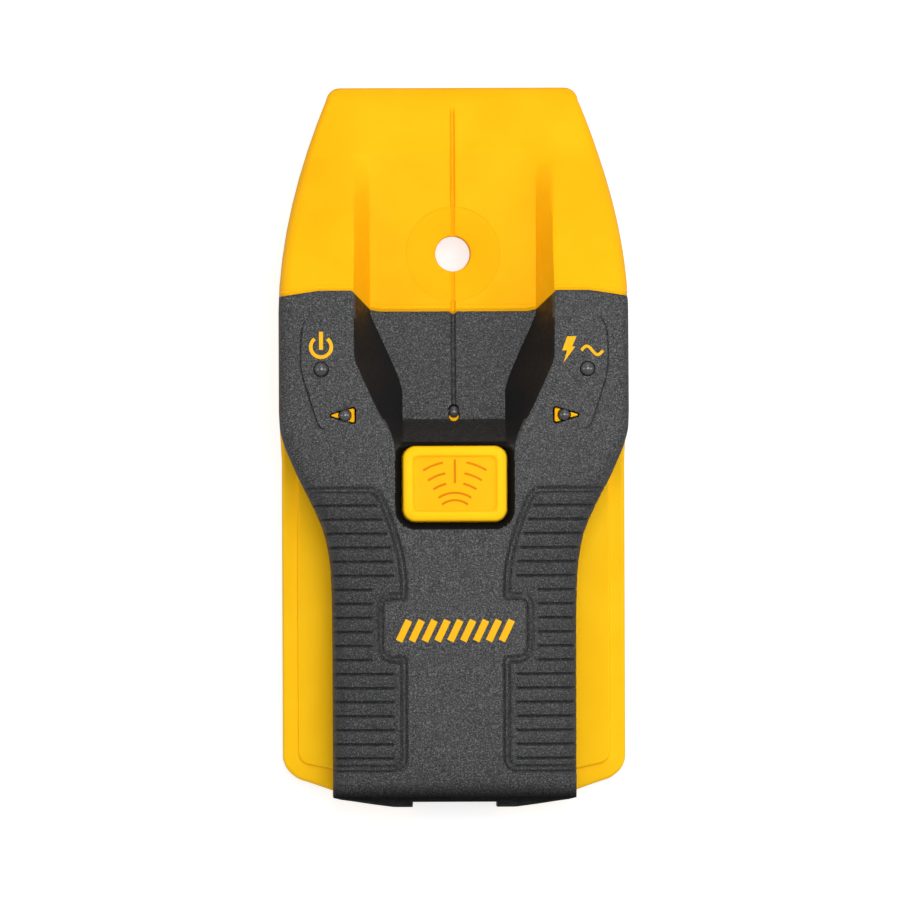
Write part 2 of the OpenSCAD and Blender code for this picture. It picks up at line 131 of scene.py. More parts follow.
def curve_through(points):
    """A smooth function that passes through points without overshoot between them."""
    xs = np.array([p[0] for p in points], float)
    ys = np.array([p[1] for p in points], float)
    h = np.diff(xs)
    d = np.diff(ys) / h
    m = np.zeros(len(xs))
    m[0], m[-1] = d[0], d[-1]
    same = d[:-1] * d[1:] > 0
    w1, w2 = 2 * h[1:] + h[:-1], h[1:] + 2 * h[:-1]
    safe = np.where(same, d[:-1] * d[1:], 1)
    m[1:-1] = np.where(same, (w1 + w2) * safe / (w1 * d[1:] + w2 * d[:-1] + 1e-12), 0)

    def at(x):
        x = np.clip(np.asarray(x, float), xs[0], xs[-1])
        i = np.clip(np.searchsorted(xs, x) - 1, 0, len(h) - 1)
        t = (x - xs[i]) / h[i]
        return (ys[i] * (1 + 2 * t) * (1 - t) ** 2 + ys[i + 1] * t * t * (3 - 2 * t)
                + h[i] * (m[i] * t * (1 - t) ** 2 + m[i + 1] * t * t * (t - 1)))
    return at


# Section tables along Y: height of the rims, floor of the channel, foot and rim of its walls,
# half width of the grip, fall of the top towards the sides, and radius of the shoulders
RIM_Z = curve_through([
    (-80, 16), (-79.5, 18.6), (-79, 20.2), (-78, 22.3), (-77, 23.7), (-74, 26.1), (-70, 27.4),
    (-62, 28.5), (-50, 29.5), (-35, 30.3), (-18, 30.88), (-8, 30.96), (0, 30.8), (8, 30.3),
    (18, 29.3), (27, 28), (35, 26.4), (43, 23.8), (50, 20.9), (57, 17.2), (62, 14.3), (65.2, 12.45),
    (72.5, 11.1), (77, 10), (79, 8.9), (79.7, 8.3), (80, 7.7)])
PANEL_Z = curve_through([(6.1, 19.5), (30, 13.8), (43, 12.9), (57, 12.4), (72.5, 12.2), (80, 12.2)])
FOOT_X = curve_through([(-80, 11.4), (12.2, 11.4), (14.4, 11.9), (21.1, 14.6), (28.9, 18.1),
                        (29.7, 18.4), (80, 18.5)])
RIM_X = curve_through([(-80, 10.8), (-33, 10.8), (-20, 12.6), (0.3, 13.7), (10.3, 18.1),
                       (16.3, 20.8), (19.3, 22.0), (21, 22.25), (34, 22.3), (45, 22.1),
                       (80, 22.1)])
WAIST_X = curve_through([(-80, 13.7), (-79.4, 18), (-78.7, 22.5), (-77.9, 27.0), (-38.2, 27.1),
                         (-28, 27.4), (-21.4, 28.3), (-4.6, 35.5), (1, 37.8), (4.5, 38.6),
                         (8, 38.75)])
FALL_Z = curve_through([(-80, 0.2), (-74, 1.2), (-40, 2.4), (-15, 2.2), (5, 1.6), (35, 1.6),
                        (60, 1.2), (80, 0.2)])
SHOULDER_R = curve_through([(-80, 2), (-74, 5.5), (-20, 6), (5, 3), (35, 3), (60, 2.4), (80, 1.2)])
# The ramp at the channel's lower end, as (y, z) of its top and foot
RAMP_TOP, RAMP_FOOT = (0.9, 30.2), (6.1, 19.5)
RAMP_SLOPE = (RAMP_TOP[1] - RAMP_FOOT[1]) / (RAMP_FOOT[0] - RAMP_TOP[0])
FALL_POWER = 1.5
# The nose narrows as a power of the distance past NOSE_START_Y, down to its rounded corners
NOSE_START_Y = 30
NOSE_TAPER, NOSE_POWER = 0.00926, 1.83
NOSE_CORNER_X = 25
NOSE_R = 3.0


def smooth_max(a, b, k):
    """The greater of a and b, rounded over where they are within about k."""
    return 0.5 * (a + b + np.sqrt((a - b) ** 2 + k * k))


def smooth_min(a, b, k):
    """The lesser of a and b, rounded over where they are within about k."""
    return 0.5 * (a + b - np.sqrt((a - b) ** 2 + k * k))


def ease(x, low, high):
    """0 below low, 1 above high, and a smooth step between."""
    t = np.clip((np.asarray(x, float) - low) / (high - low), 0, 1)
    return t * t * (3 - 2 * t)


def half_width(y):
    """Half width of the nose, shoulders and grip."""
    y = np.asarray(y, float)
    nose = HALF_W - NOSE_TAPER * np.clip(y - NOSE_START_Y, 0, None) ** NOSE_POWER
    past = np.clip(y - HALF_L + NOSE_R, 0, None)
    corner = NOSE_CORNER_X + np.sqrt(np.clip(NOSE_R ** 2 - past ** 2, 0, None))
    nose = np.where(y > HALF_L - NOSE_R, corner, nose)
    return np.where(y > 8, nose, np.minimum(HALF_W, WAIST_X(y)))


def section(y, t):
    """Half widths and heights of the cross-section at y, set back by t."""
    w = half_width(y) - t
    shift = np.where(y > 0, 0.73 * t, 0)
    rim = np.minimum(RIM_X(y) + shift, w - 2)
    foot = np.minimum(FOOT_X(y) + shift, rim - 0.8)
    h = RIM_Z(y) - t
    back = y + 0.75 * t
    ramp = RAMP_TOP[1] - (back - RAMP_TOP[0]) * RAMP_SLOPE
    floor = np.minimum(h + 2, smooth_max(PANEL_Z(back), ramp, 0.5)) - t
    r = np.minimum(SHOULDER_R(y), (w - rim) * 0.8)
    return dict(w=w, rim=rim, foot=foot, h=h, floor=floor, r=r, fall=FALL_Z(y))


def rounded_box_distance(x, y, w, l, r):
    """Distance from (x, y) to a rounded rectangle about the origin, negative inside."""
    qx = np.abs(x) - w / 2 + r
    qy = np.abs(y) - l / 2 + r
    outside = np.hypot(np.clip(qx, 0, None), np.clip(qy, 0, None))
    return outside + np.minimum(np.maximum(qx, qy), 0) - r


def base_height(x, y, t=0.0):
    """Height of the front surface without its small details."""
    x = np.abs(x)
    s = section(y, t)
    span = np.maximum(s["w"] - s["r"] - s["rim"], 0.1)
    u = np.clip((x - s["rim"]) / span, 0, None)
    top = s["h"] - s["fall"] * u ** FALL_POWER
    slope = np.maximum(s["h"] - s["floor"], 0.05) / np.maximum(s["rim"] - s["foot"], 0.3)
    channel = smooth_max(s["floor"], s["floor"] + (x - s["foot"]) * slope, 0.25)
    depth = np.clip(s["h"] - s["floor"], 0, 1)
    z = smooth_min(top, channel, 0.35 * depth + 0.001)
    # The dark bezel slopes down to the gap round the button, and is narrower at its top edge
    d = rounded_box_distance(x, y - BUTTON_Y, BUTTON_W, BUTTON_L, BUTTON_R)
    d = d + 1.0 * ease(y, BUTTON_Y + 7.4, BUTTON_Y + 8.5)
    bezel = BUTTON_TOP - BEZEL_DEPTH + (d - BUTTON_GAP) * BEZEL_SLOPE - 0.8 * t
    return smooth_min(z, bezel, 0.12)


def distance_to_path(x, y, path):
    """Distance from each (x, y) to an open polyline."""
    best = np.full(x.shape, 1e9)
    for (ax, ay), (bx, by) in zip(path[:-1], path[1:]):
        dx, dy = bx - ax, by - ay
        t = np.clip(((x - ax) * dx + (y - ay) * dy) / (dx * dx + dy * dy + 1e-12), 0, 1)
        best = np.minimum(best, np.hypot(x - ax - t * dx, y - ay - t * dy))
    return best


def spline(points, steps=8):
    """Points along a smooth curve through points."""
    p = np.array(points, float)
    p = np.vstack([2 * p[0] - p[1], p, 2 * p[-1] - p[-2]])
    out = []
    for i in range(1, len(p) - 2):
        for t in np.linspace(0, 1, steps, endpoint=False):
            out.append(0.5 * (2 * p[i] + (p[i + 1] - p[i - 1]) * t
                              + (2 * p[i - 1] - 5 * p[i] + 4 * p[i + 1] - p[i + 2]) * t ** 2
                              + (3 * p[i] - p[i - 1] - 3 * p[i + 1] + p[i + 2]) * t ** 3))
    out.append(p[-2])
    return np.array(out)


def arc(cx, cy, r, a0, a1, n=8):
    """Points on an arc, from angle a0 to a1 in degrees."""
    return [(cx + r * math.cos(math.radians(a)), cy + r * math.sin(math.radians(a)))
            for a in np.linspace(a0, a1, n)]


# Edge of the right grip pad, from its top outer corner round to its bottom outer corner
PAD_EDGE = np.vstack([
    [(45, -9.0), (18.6, -9.0)],
    spline([(18.2, -9.05), (16.2, -10.7), (13.6, -17.0), (11.7, -23.5), (10.9, -29.0),
            (10.8, -32.6)], 6),
    arc(11.6, -33.1, 0.8, 180, 270, 5),
    arc(14.6, -35.3, 1.4, 90, 0, 6),
    arc(13.8, -44.3, 2.2, 0, -90, 8),
    arc(11.6, -47.3, 0.8, 90, 180, 5),
    arc(13.4, -69.4, 2.6, 180, 270, 8),
    [(45, -72.0)],
])
# Crease outboard of the lamps on the right shoulder
CREASE = spline([(31.6, 29.6), (33.4, 27.4), (34.0, 24.0), (34.0, 17.4), (32.3, 11.2),
                 (30.4, 5.4), (29.2, 4.1), (27.0, 3.5)], 8)
# Depth of the aiming groove, and where its ends and its sides slope
GROOVE_DEPTH = 0.85
GROOVE_TOP, GROOVE_FOOT, GROOVE_SIDE = (73.0, 76.5), (8.2, 9.6), (0.25, 0.6)
RIB_PITCH = 3.118
RIB_FIRST_Y = -12.93
RIB_COUNT = 19
RIB_WIDTH = 0.25
# Lines of a rib, as (distance up from its middle, depth), and of the pad's edge, inwards
RIB_LINES = ((0, 0.78), (0.7, 0.12))
PAD_LINES = ((0, 0.62), (1.2, 0.55))
PAD_LINE_WIDTH = 0.27
PAD_DROP = 0.12
# Inner ends of the ribs: beside the curved part of the pad's edge, beside the middle patch,
# which ends at PATCH_LOW_Y, and below it
RIB_STARTS = [17.6, 16.4, 15.4, 14.6, 14.0, 13.8]
RIB_START_PATCH = 18.6
RIB_START_LOW = 13.8
PATCH_LOW_Y = -49.5


def rib_y(i):
    return RIB_FIRST_Y - RIB_PITCH * i


def rib_start(i):
    """Inner end of a rib, as a distance from the tool's middle."""
    if i < len(RIB_STARTS):
        return RIB_STARTS[i]
    return RIB_START_PATCH if rib_y(i) > PATCH_LOW_Y else RIB_START_LOW


def cover_details(x, y):
    """How far the black cover's small details stand below its surface."""
    x = np.abs(x)
    d = distance_to_path(x, y, PAD_EDGE)
    inside = inside_polygon(x, y, PAD_EDGE)
    signed = np.where(inside, d, -d)
    cut = PAD_DROP * ease(signed, 1.0, 1.5)
    for at, depth in PAD_LINES:
        cut += depth * np.exp(-((signed - at) / PAD_LINE_WIDTH) ** 2)
    for i in range(RIB_COUNT):
        beside = np.clip(rib_start(i) - x, 0, None)
        for up, depth in RIB_LINES:
            cut += depth * np.exp(-(np.hypot(beside, y - rib_y(i) - up) / RIB_WIDTH) ** 2)
    return cut + centre_groove(x, y)


def centre_groove(x, y):
    """Depth of the aiming groove along the middle."""
    along = (1 - ease(y, *GROOVE_TOP)) * ease(y, *GROOVE_FOOT)
    return GROOVE_DEPTH * along * (1 - ease(np.abs(x), *GROOVE_SIDE))


def inside_polygon(x, y, path):
    """Even-odd test against a closed polygon."""
    inside = np.zeros(x.shape, bool)
    p = np.vstack([path, path[:1]])
    for (ax, ay), (bx, by) in zip(p[:-1], p[1:]):
        if ay == by:
            continue
        crosses = (y < max(ay, by)) & (y >= min(ay, by))
        inside ^= crosses & (x < ax + (y - ay) * (bx - ax) / (by - ay))
    return inside


def seam_y(x):
    """Where the yellow nose meets the black cover, across the tool."""
    tab = TAB_LENGTH * np.sqrt(np.clip(1 - (x / TAB_R) ** 2, 0, 1))
    return np.interp(np.abs(x), SEAM_XS, SEAM_YS) - tab


# ---------------------------------------------------------------- mesh helpers

def new_mesh(name, points_mm, faces, mats, smooth=35, face_mats=None):
    """A mesh object from points in millimetres, shaded smooth below the given edge angle."""
    mesh = bpy.data.meshes.new(name)
    mesh.from_pydata((np.asarray(points_mm, float) * MM).tolist(), [], faces)
    for mat in mats:
        mesh.materials.append(mat)
    if face_mats is not None:
        mesh.polygons.foreach_set("material_index", np.asarray(face_mats, np.int32))
    mesh.validate()
    face_outwards(mesh)
    obj = bpy.data.objects.new(name, mesh)
    bpy.context.scene.collection.objects.link(obj)
    shade(obj, smooth)
    return obj


def face_outwards(mesh):
    """Turns the faces of closed solids outwards."""
    bm = bmesh.new()
    bm.from_mesh(mesh)
    bmesh.ops.recalc_face_normals(bm, faces=bm.faces)
    bm.to_mesh(mesh)
    bm.free()
    mesh.update()


def shade(obj, angle):
    """Smooth shading, with edges above an angle in degrees kept sharp."""
    obj.data.polygons.foreach_set("use_smooth", [True] * len(obj.data.polygons))
    obj.data.set_sharp_from_angle(angle=math.radians(angle))


def grid_faces(rows, cols, start=0, flip=False, closed=False):
    """Quads of a grid of points, row by row."""
    faces = []
    last = cols if closed else cols - 1
    for j in range(rows - 1):
        a0, b0 = start + j * cols, start + (j + 1) * cols
        for i in range(last):
            k = (i + 1) % cols
            quad = (a0 + i, a0 + k, b0 + k, b0 + i)
            faces.append(quad[::-1] if flip else quad)
    return faces


def apply_modifiers(obj):
    """Bakes an object's modifiers into its mesh."""
    bpy.context.view_layer.update()
    graph = bpy.context.evaluated_depsgraph_get()
    mesh = bpy.data.meshes.new_from_object(obj.evaluated_get(graph))
    old = obj.data
    obj.modifiers.clear()
    obj.data = mesh
    mesh.name = obj.name
    bpy.data.meshes.remove(old)
    return obj


def combine(obj, others, operation="DIFFERENCE", solver="MANIFOLD", smooth=35):
    """Cuts or joins others with obj, and removes them."""
    for i, other in enumerate(others):
        mod = obj.modifiers.new(f"step{i}", "BOOLEAN")
        mod.operation = operation
        mod.solver = solver
        mod.object = other
    apply_modifiers(obj)
    for other in others:
        bpy.data.objects.remove(other)
    shade(obj, smooth)
    return obj


def join(name, objs):
    """One object from several, with their materials kept."""
    with bpy.context.temp_override(active_object=objs[0], selected_editable_objects=objs):
        bpy.ops.object.join()
    objs[0].name = name
    objs[0].data.name = name
    return objs[0]


def lathe(name, profile, centre, mats, segments=64, smooth=35, scale_xy=(1, 1)):
    """A turned solid about a +Z axis, from (radius, height) points; radius 0 closes an end."""
    points, rings = [], []
    for r, z in profile:
        if r <= 1e-6:
            rings.append([len(points)])
            points.append((centre[0], centre[1], z))
            continue
        rings.append(list(range(len(points), len(points) + segments)))
        for k in range(segments):
            a = 2 * math.pi * k / segments
            points.append((centre[0] + scale_xy[0] * r * math.cos(a),
                           centre[1] + scale_xy[1] * r * math.sin(a), z))
    faces = []
    closed = profile[0][0] > 1e-6 and profile[-1][0] > 1e-6
    pairs = list(zip(rings[:-1], rings[1:])) + ([(rings[-1], rings[0])] if closed else [])
    for low, high in pairs:
        for k in range(segments):
            m = (k + 1) % segments
            if len(low) == 1:
                faces.append((low[0], high[m], high[k]))
            elif len(high) == 1:
                faces.append((low[k], low[m], high[0]))
            else:
                faces.append((low[k], low[m], high[m], high[k]))
    return new_mesh(name, points, faces, mats, smooth)


def rounded_rectangle(w, l, r, cx=0.0, cy=0.0, n=8):
    """Outline of a rounded rectangle, counter-clockwise."""
    out = []
    for sx, sy, a in ((1, 1, 0), (-1, 1, 90), (-1, -1, 180), (1, -1, 270)):
        out += arc(cx + sx * (w / 2 - r), cy + sy * (l / 2 - r), r, a, a + 90, n)
    return out


def inset_outline(outline, by):
    """Moves each point of a counter-clockwise outline inwards along its normal."""
    p = np.array(outline, float)
    before, after = np.roll(p, 1, 0) - p, np.roll(p, -1, 0) - p
    a = -before / (np.linalg.norm(before, axis=1, keepdims=True) + 1e-9)
    b = after / (np.linalg.norm(after, axis=1, keepdims=True) + 1e-9)
    na = np.stack([-a[:, 1], a[:, 0]], 1)
    nb = np.stack([-b[:, 1], b[:, 0]], 1)
    n = na + nb
    n /= np.linalg.norm(n, axis=1, keepdims=True) + 1e-9
    scale = 1 / np.clip((n * na).sum(1), 0.5, 1)
    return p + n * (by * scale)[:, None]


def layered(name, outline, layers, mats, smooth=35):
    """A solid whose outline is inset by a given amount at each height, from bottom to top.

    The outline is a list of points, or a function that gives them for an inset."""
    points = []
    for inset, z in layers:
        ring = outline(inset) if callable(outline) else inset_outline(outline, inset)
        points += [(x, y, z) for x, y in ring]
    n = len(ring)
    faces = grid_faces(len(layers), n, closed=True)
    faces.append(tuple(range(n))[::-1])
    faces.append(tuple(range((len(layers) - 1) * n, len(layers) * n)))
    return new_mesh(name, points, faces, mats, smooth)


def prism(name, outline, z0, z1):
    """A straight extrusion of an outline, for cutting."""
    return layered(name, outline, [(0, z0), (0, z1)], [])


def fillet(z0, z1, r, n=5):
    """Layers of a side wall from z0 to z1 with rounded edges of radius r."""
    turn = np.linspace(0, math.pi / 2, n)
    return ([(r - r * math.sin(a), z0 + r - r * math.cos(a)) for a in turn]
            + [(r - r * math.cos(a), z1 - r + r * math.sin(a)) for a in turn])


def ride(obj, body, slot, *nodes):
    """Lets a piece ride on a body, in place of CAD nodes if any are given. The slot is not used."""
    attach(obj, body)
    if nodes:
        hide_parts(*nodes)
    return obj


# ---------------------------------------------------------------- materials

class Nodes:
    """A short way to build a node material around a Principled shader."""

    def __init__(self, name, color=None, rough=0.5, metallic=0.0, specular=0.5, **sockets):
        self.mat = bpy.data.materials.new(name)
        self.mat.use_nodes = True
        self.tree = self.mat.node_tree
        self.bsdf = self.tree.nodes["Principled BSDF"]
        if color is not None:
            self.bsdf.inputs["Base Color"].default_value = (*color, 1)
        self.bsdf.inputs["Roughness"].default_value = rough
        self.bsdf.inputs["Metallic"].default_value = metallic
        self.bsdf.inputs["Specular IOR Level"].default_value = specular
        for key, value in sockets.items():
            self.bsdf.inputs[key.replace("_", " ")].default_value = value
        self.coords = self.tree.nodes.new("ShaderNodeTexCoord").outputs["Object"]

    def link(self, out, into):
        self.tree.links.new(out, into)

    def add(self, kind, **values):
        """A new node, with the given values on its inputs."""
        node = self.tree.nodes.new("ShaderNode" + kind)
        for key, value in values.items():
            node.inputs[key.replace("_", " ")].default_value = value
        return node

    def noise(self, scale, detail=2.0, rough=0.5):
        node = self.add("TexNoise", Scale=scale, Detail=detail, Roughness=rough)
        self.link(self.coords, node.inputs["Vector"])
        return node.outputs["Fac"]

    def ramp(self, value, stops):
        node = self.add("ValToRGB")
        elements = node.color_ramp.elements
        while len(elements) < len(stops):
            elements.new(0.5)
        for element, (at, color) in zip(elements, stops):
            element.position = at
            element.color = (*color, 1)
        self.link(value, node.inputs["Fac"])
        return node.outputs["Color"]

    def span(self, value, low, high, start=0.3, end=0.7):
        """value from start..end mapped to low..high."""
        node = self.add("MapRange", From_Min=start, From_Max=end, To_Min=low, To_Max=high)
        self.link(value, node.inputs["Value"])
        return node.outputs["Result"]

    def bump(self, height, distance_mm, strength=1.0, normal=None):
        node = self.add("Bump", Distance=distance_mm * MM, Strength=strength)
        self.link(height, node.inputs["Height"])
        if normal is not None:
            self.link(normal, node.inputs["Normal"])
        return node.outputs["Normal"]

    def painted_shade_below(self, color, start_y, end_y, to):
        """Paints shade into a colour along -Y, from start_y to end_y in millimetres."""
        split = self.add("SeparateXYZ")
        self.link(self.coords, split.inputs[0])
        mix = self.add("Mix")
        mix.data_type = "RGBA"
        mix.blend_type = "MULTIPLY"
        mix.inputs["B"].default_value = (to, to, to, 1)
        self.link(self.span(split.outputs["Y"], 0, 1, start_y * MM, end_y * MM),
                  mix.inputs["Factor"])
        self.link(color, mix.inputs["A"])
        return mix.outputs["Result"]

    def finish(self, color=None, rough=None, normal=None):
        if color is not None:
            self.link(color, self.bsdf.inputs["Base Color"])
        if rough is not None:
            self.link(rough, self.bsdf.inputs["Roughness"])
        if normal is not None:
            self.link(normal, self.bsdf.inputs["Normal"])
        return self.mat


def moulded(name, dark, light, rough=(0.42, 0.55), grain=0.02, grain_scale=2600,
            tint=(1, 1, 1)):
    """Moulded plastic: a faint colour drift, a fine grain and uneven sheen."""
    m = Nodes(name, specular=0.3, Specular_Tint=(*tint, 1))
    drift = m.noise(90, 3)
    fine = m.noise(grain_scale, 2)
    normal = m.bump(fine, grain, 0.6)
    return m.finish(m.ramp(drift, [(0.3, dark), (0.7, light)]),
                    m.span(m.noise(420, 3), *rough), normal)


def grained(name, dark, mid, light, bump_mm=0.07, scale=2100, rough=(0.55, 0.75), specular=0.35,
            tail=None):
    """Spark-textured black plastic: pebbled bump, coloured dark in its hollows and light on its
    peaks as painted shade and painted glints, and painted shade darkening it along the tail (start
    and end along Y, and how dark) if that is given."""
    m = Nodes(name, specular=specular)
    pebble = m.noise(scale, 3, 0.6)
    wide = m.noise(scale * 0.35, 2)
    normal = m.bump(pebble, bump_mm, 1.0)
    normal = m.bump(wide, bump_mm * 0.8, 0.5, normal)
    # The colour follows the bump's noise, dark in its hollows and light on its peaks: painted shade
    # and painted glints on the grain
    color = m.ramp(pebble, [(0.36, dark), (0.52, mid), (0.72, light)])
    # Painted shade towards the tail's end, when it is asked for
    if tail is not None:
        color = m.painted_shade_below(color, *tail)
    return m.finish(color, m.span(m.noise(600, 2), *rough), normal)


def metal(name, color, rough=(0.25, 0.4)):
    """Bright metal with a fine uneven sheen."""
    m = Nodes(name, color, metallic=1.0)
    fine = m.noise(900, 3)
    return m.finish(None, m.span(fine, *rough), m.bump(fine, 0.01, 0.4))


WARM = (1.0, 0.62, 0.12)
YELLOW = moulded("yellow_abs", (0.93, 0.435, 0.003), (0.96, 0.475, 0.005), tint=WARM)
# Painted light: a lighter copy of the shell's yellow for the wings, which lie low in the grip's
# shade
WING_YELLOW_LIT = moulded("wing_yellow_lit", (0.95, 0.51, 0.005), (0.98, 0.55, 0.008), tint=WARM)
DISH_YELLOW = moulded("dish_yellow", (0.92, 0.43, 0.003), (0.95, 0.46, 0.004), (0.55, 0.65), 0.03,
                      2200, tint=WARM)
BUTTON_YELLOW = moulded("button_yellow", (0.97, 0.52, 0.006), (0.99, 0.56, 0.01), (0.36, 0.5),
                        tint=WARM)
# Painted shade: a darker copy of the button's yellow for its sunken panel
PANEL_YELLOW_SHADED = moulded("button_panel_shaded", (0.95, 0.43, 0.004), (0.98, 0.47, 0.006), (0.42, 0.55),
                       tint=WARM)
PRINT_YELLOW = moulded("print_yellow", (0.86, 0.43, 0.012), (0.90, 0.47, 0.016), (0.5, 0.6), 0.01,
                       tint=WARM)
# The sign's grooves: partly a darker orange tone of the marks and partly painted shade in the
# grooves
ENGRAVED_SHADE = moulded("engraved_orange_shade", (0.66, 0.20, 0.003), (0.72, 0.23, 0.004), (0.5, 0.65), 0.01,
                   tint=WARM)
COVER = grained("cover_grain", (0.013, 0.013, 0.0135), (0.042, 0.0425, 0.0435),
                (0.17, 0.17, 0.175), scale=3100)
# Painted shade: a darker copy of the grain for the grip pads, whose sides slope away from the light
COVER_PAD_SHADE = grained("cover_pad_shade", (0.010, 0.010, 0.0105), (0.032, 0.0325, 0.0335),
                    (0.13, 0.13, 0.135), scale=3100)
# Painted shade: a darker copy of the grain for the steep ramp at the channel's lower end
COVER_RAMP_SHADE = grained("cover_ramp_shade", (0.009, 0.009, 0.0095), (0.018, 0.0182, 0.019),
                     (0.05, 0.05, 0.052), scale=3100, specular=0.2)
# Painted shade: the grain darkens along -Y down to 2% towards the tail's end, where its rounding
# turns from the light
COVER_TAIL_SHADE = grained("cover_tail_shade", (0.025, 0.025, 0.0255), (0.062, 0.0625, 0.0635),
                     (0.16, 0.16, 0.165), scale=3100, specular=0.07, tail=(-74.4, -77.9, 0.02))
# Smooth black for the channel walls and underside: a real smooth finish, its colour darkened as
# painted shade of the steep walls
COVER_SMOOTH_SHADED = grained("cover_smooth_shaded", (0.006, 0.0063, 0.007), (0.008, 0.0083, 0.009),
                       (0.011, 0.011, 0.0115), 0.01, 2600, (0.45, 0.6), 0.2)
# Smooth near-black for the bezel round the button: a real smooth finish, its colour darkened as
# painted shade of its steep slope into the gap
BEZEL_SHADED = grained("bezel_black_shaded", (0.0045, 0.0045, 0.0048), (0.006, 0.006, 0.0063),
                (0.009, 0.009, 0.0094), 0.01, 2600, (0.6, 0.7), 0.08)
COVER_MATS = [COVER, COVER_SMOOTH_SHADED, BEZEL_SHADED, COVER_TAIL_SHADE, COVER_PAD_SHADE, COVER_RAMP_SHADE]
PICK_SMOOTH_SHADED, PICK_BEZEL_SHADED, PICK_TAIL_SHADE, PICK_PAD_SHADE, PICK_RAMP_SHADE = range(1, len(COVER_MATS))
DOOR_BLACK = grained("door_grain", (0.022, 0.0225, 0.023), (0.036, 0.037, 0.038),
                     (0.08, 0.08, 0.083), 0.05)


def smoked_lens():
    m = Nodes("smoked_lens", (0.03, 0.03, 0.032), 0.16, specular=0.6, Coat_Weight=0.3,
              Coat_Roughness=0.1)
    return m.finish(m.ramp(m.noise(500, 2), [(0.3, (0.040, 0.040, 0.042)),
                                             (0.7, (0.062, 0.062, 0.065))]),
                    m.span(m.noise(1500, 2), 0.12, 0.24), m.bump(m.noise(900, 2), 0.01, 0.3))


LENS = smoked_lens()
PLASTIC_BLACK = moulded("black_plastic", (0.016, 0.016, 0.017), (0.024, 0.024, 0.025))
PLASTIC_GREY = moulded("grey_plastic", (0.10, 0.10, 0.105), (0.13, 0.13, 0.135))
BOARD = moulded("green_board", (0.008, 0.085, 0.030), (0.012, 0.11, 0.040), (0.25, 0.4), 0.008)
CHIP = moulded("chip_epoxy", (0.012, 0.012, 0.013), (0.02, 0.02, 0.021), (0.5, 0.65), 0.01)
CERAMIC = moulded("ceramic", (0.42, 0.33, 0.22), (0.5, 0.41, 0.3), (0.35, 0.5), 0.008)
SLEEVE = moulded("capacitor_sleeve", (0.02, 0.03, 0.07), (0.03, 0.04, 0.09), (0.3, 0.4), 0.006)
FOAM = grained("foam", (0.03, 0.03, 0.032), (0.05, 0.05, 0.052), (0.08, 0.08, 0.082), 0.2, 1100,
               (0.85, 0.95))
LED_GREEN = moulded("led_green", (0.03, 0.42, 0.06), (0.05, 0.5, 0.08), (0.1, 0.2), 0.004)
LED_RED = moulded("led_red", (0.55, 0.02, 0.015), (0.62, 0.03, 0.02), (0.1, 0.2), 0.004)
LED_WHITE = moulded("led_white", (0.75, 0.76, 0.78), (0.82, 0.83, 0.85), (0.1, 0.2), 0.004)
LEAD_RED = moulded("lead_red", (0.5, 0.015, 0.012), (0.56, 0.02, 0.015), (0.35, 0.45), 0.006)
LEAD_BLACK = moulded("lead_black", (0.015, 0.015, 0.016), (0.02, 0.02, 0.021), (0.35, 0.45))
WRAP_DARK = moulded("wrap_dark", (0.02, 0.022, 0.026), (0.028, 0.03, 0.034), (0.3, 0.4), 0.006)
WRAP_GOLD = metal("wrap_gold", (0.75, 0.42, 0.16), (0.3, 0.42))
STEEL = metal("screw_steel", (0.55, 0.55, 0.56))
TERMINAL = metal("terminal_metal", (0.66, 0.65, 0.62))
COPPER = metal("copper", (0.80, 0.38, 0.20))


# ---------------------------------------------------------------- shells from the front surface

SEGMENTS = ("floor", "wall", "top", "arc", "side")
# Columns at fixed places beside the aiming groove, in half a section
GROOVE_COLUMNS = (0.0, 0.22, 0.38, 0.50, 0.62, 0.80)
# How far down the side, as a share of it, the details fade out
SIDE_FADE = 0.3


def half_columns(counts):
    """Columns of half a section: a place beside the groove ("x"), or a fraction of a segment."""
    cols = [("x", v) for v in GROOVE_COLUMNS]
    for kind, count in zip(SEGMENTS, counts):
        power = 1.25 if kind == "top" else 1
        cols += [(kind, u ** power) for u in np.linspace(0, 1, count + 1)[1:]]
    return cols


def front_grid(rows, counts, t, bottom, warp, details=None):
    """Points of the front surface set back by t: one row per y in rows, from -X to +X."""
    cols = half_columns(counts)
    full = [(-1, c) for c in cols[:0:-1]] + [(1, c) for c in cols]
    ys = np.array(rows, float)[:, None] * np.ones((1, len(full)))
    x, y, z = section_points(ys, full, t, bottom, warp, details)
    return np.stack([x, y * (1 - t / HALF_L), z], -1)


def column_x(kind, u, s, start):
    """Where a column crosses the section s, whose shoulder's arc starts at the angle start."""
    inner = GROOVE_COLUMNS[-1]
    arc_middle = s["w"] - s["r"]
    ends = {"x": (u, u), "floor": (inner, s["foot"]), "wall": (s["foot"], s["rim"]),
            "top": (s["rim"], arc_middle + s["r"] * np.cos(start)), "side": (s["w"], s["w"])}
    if kind == "arc":
        return arc_middle + s["r"] * np.cos(start * (1 - u))
    low, high = ends[kind]
    return low + (high - low) * u


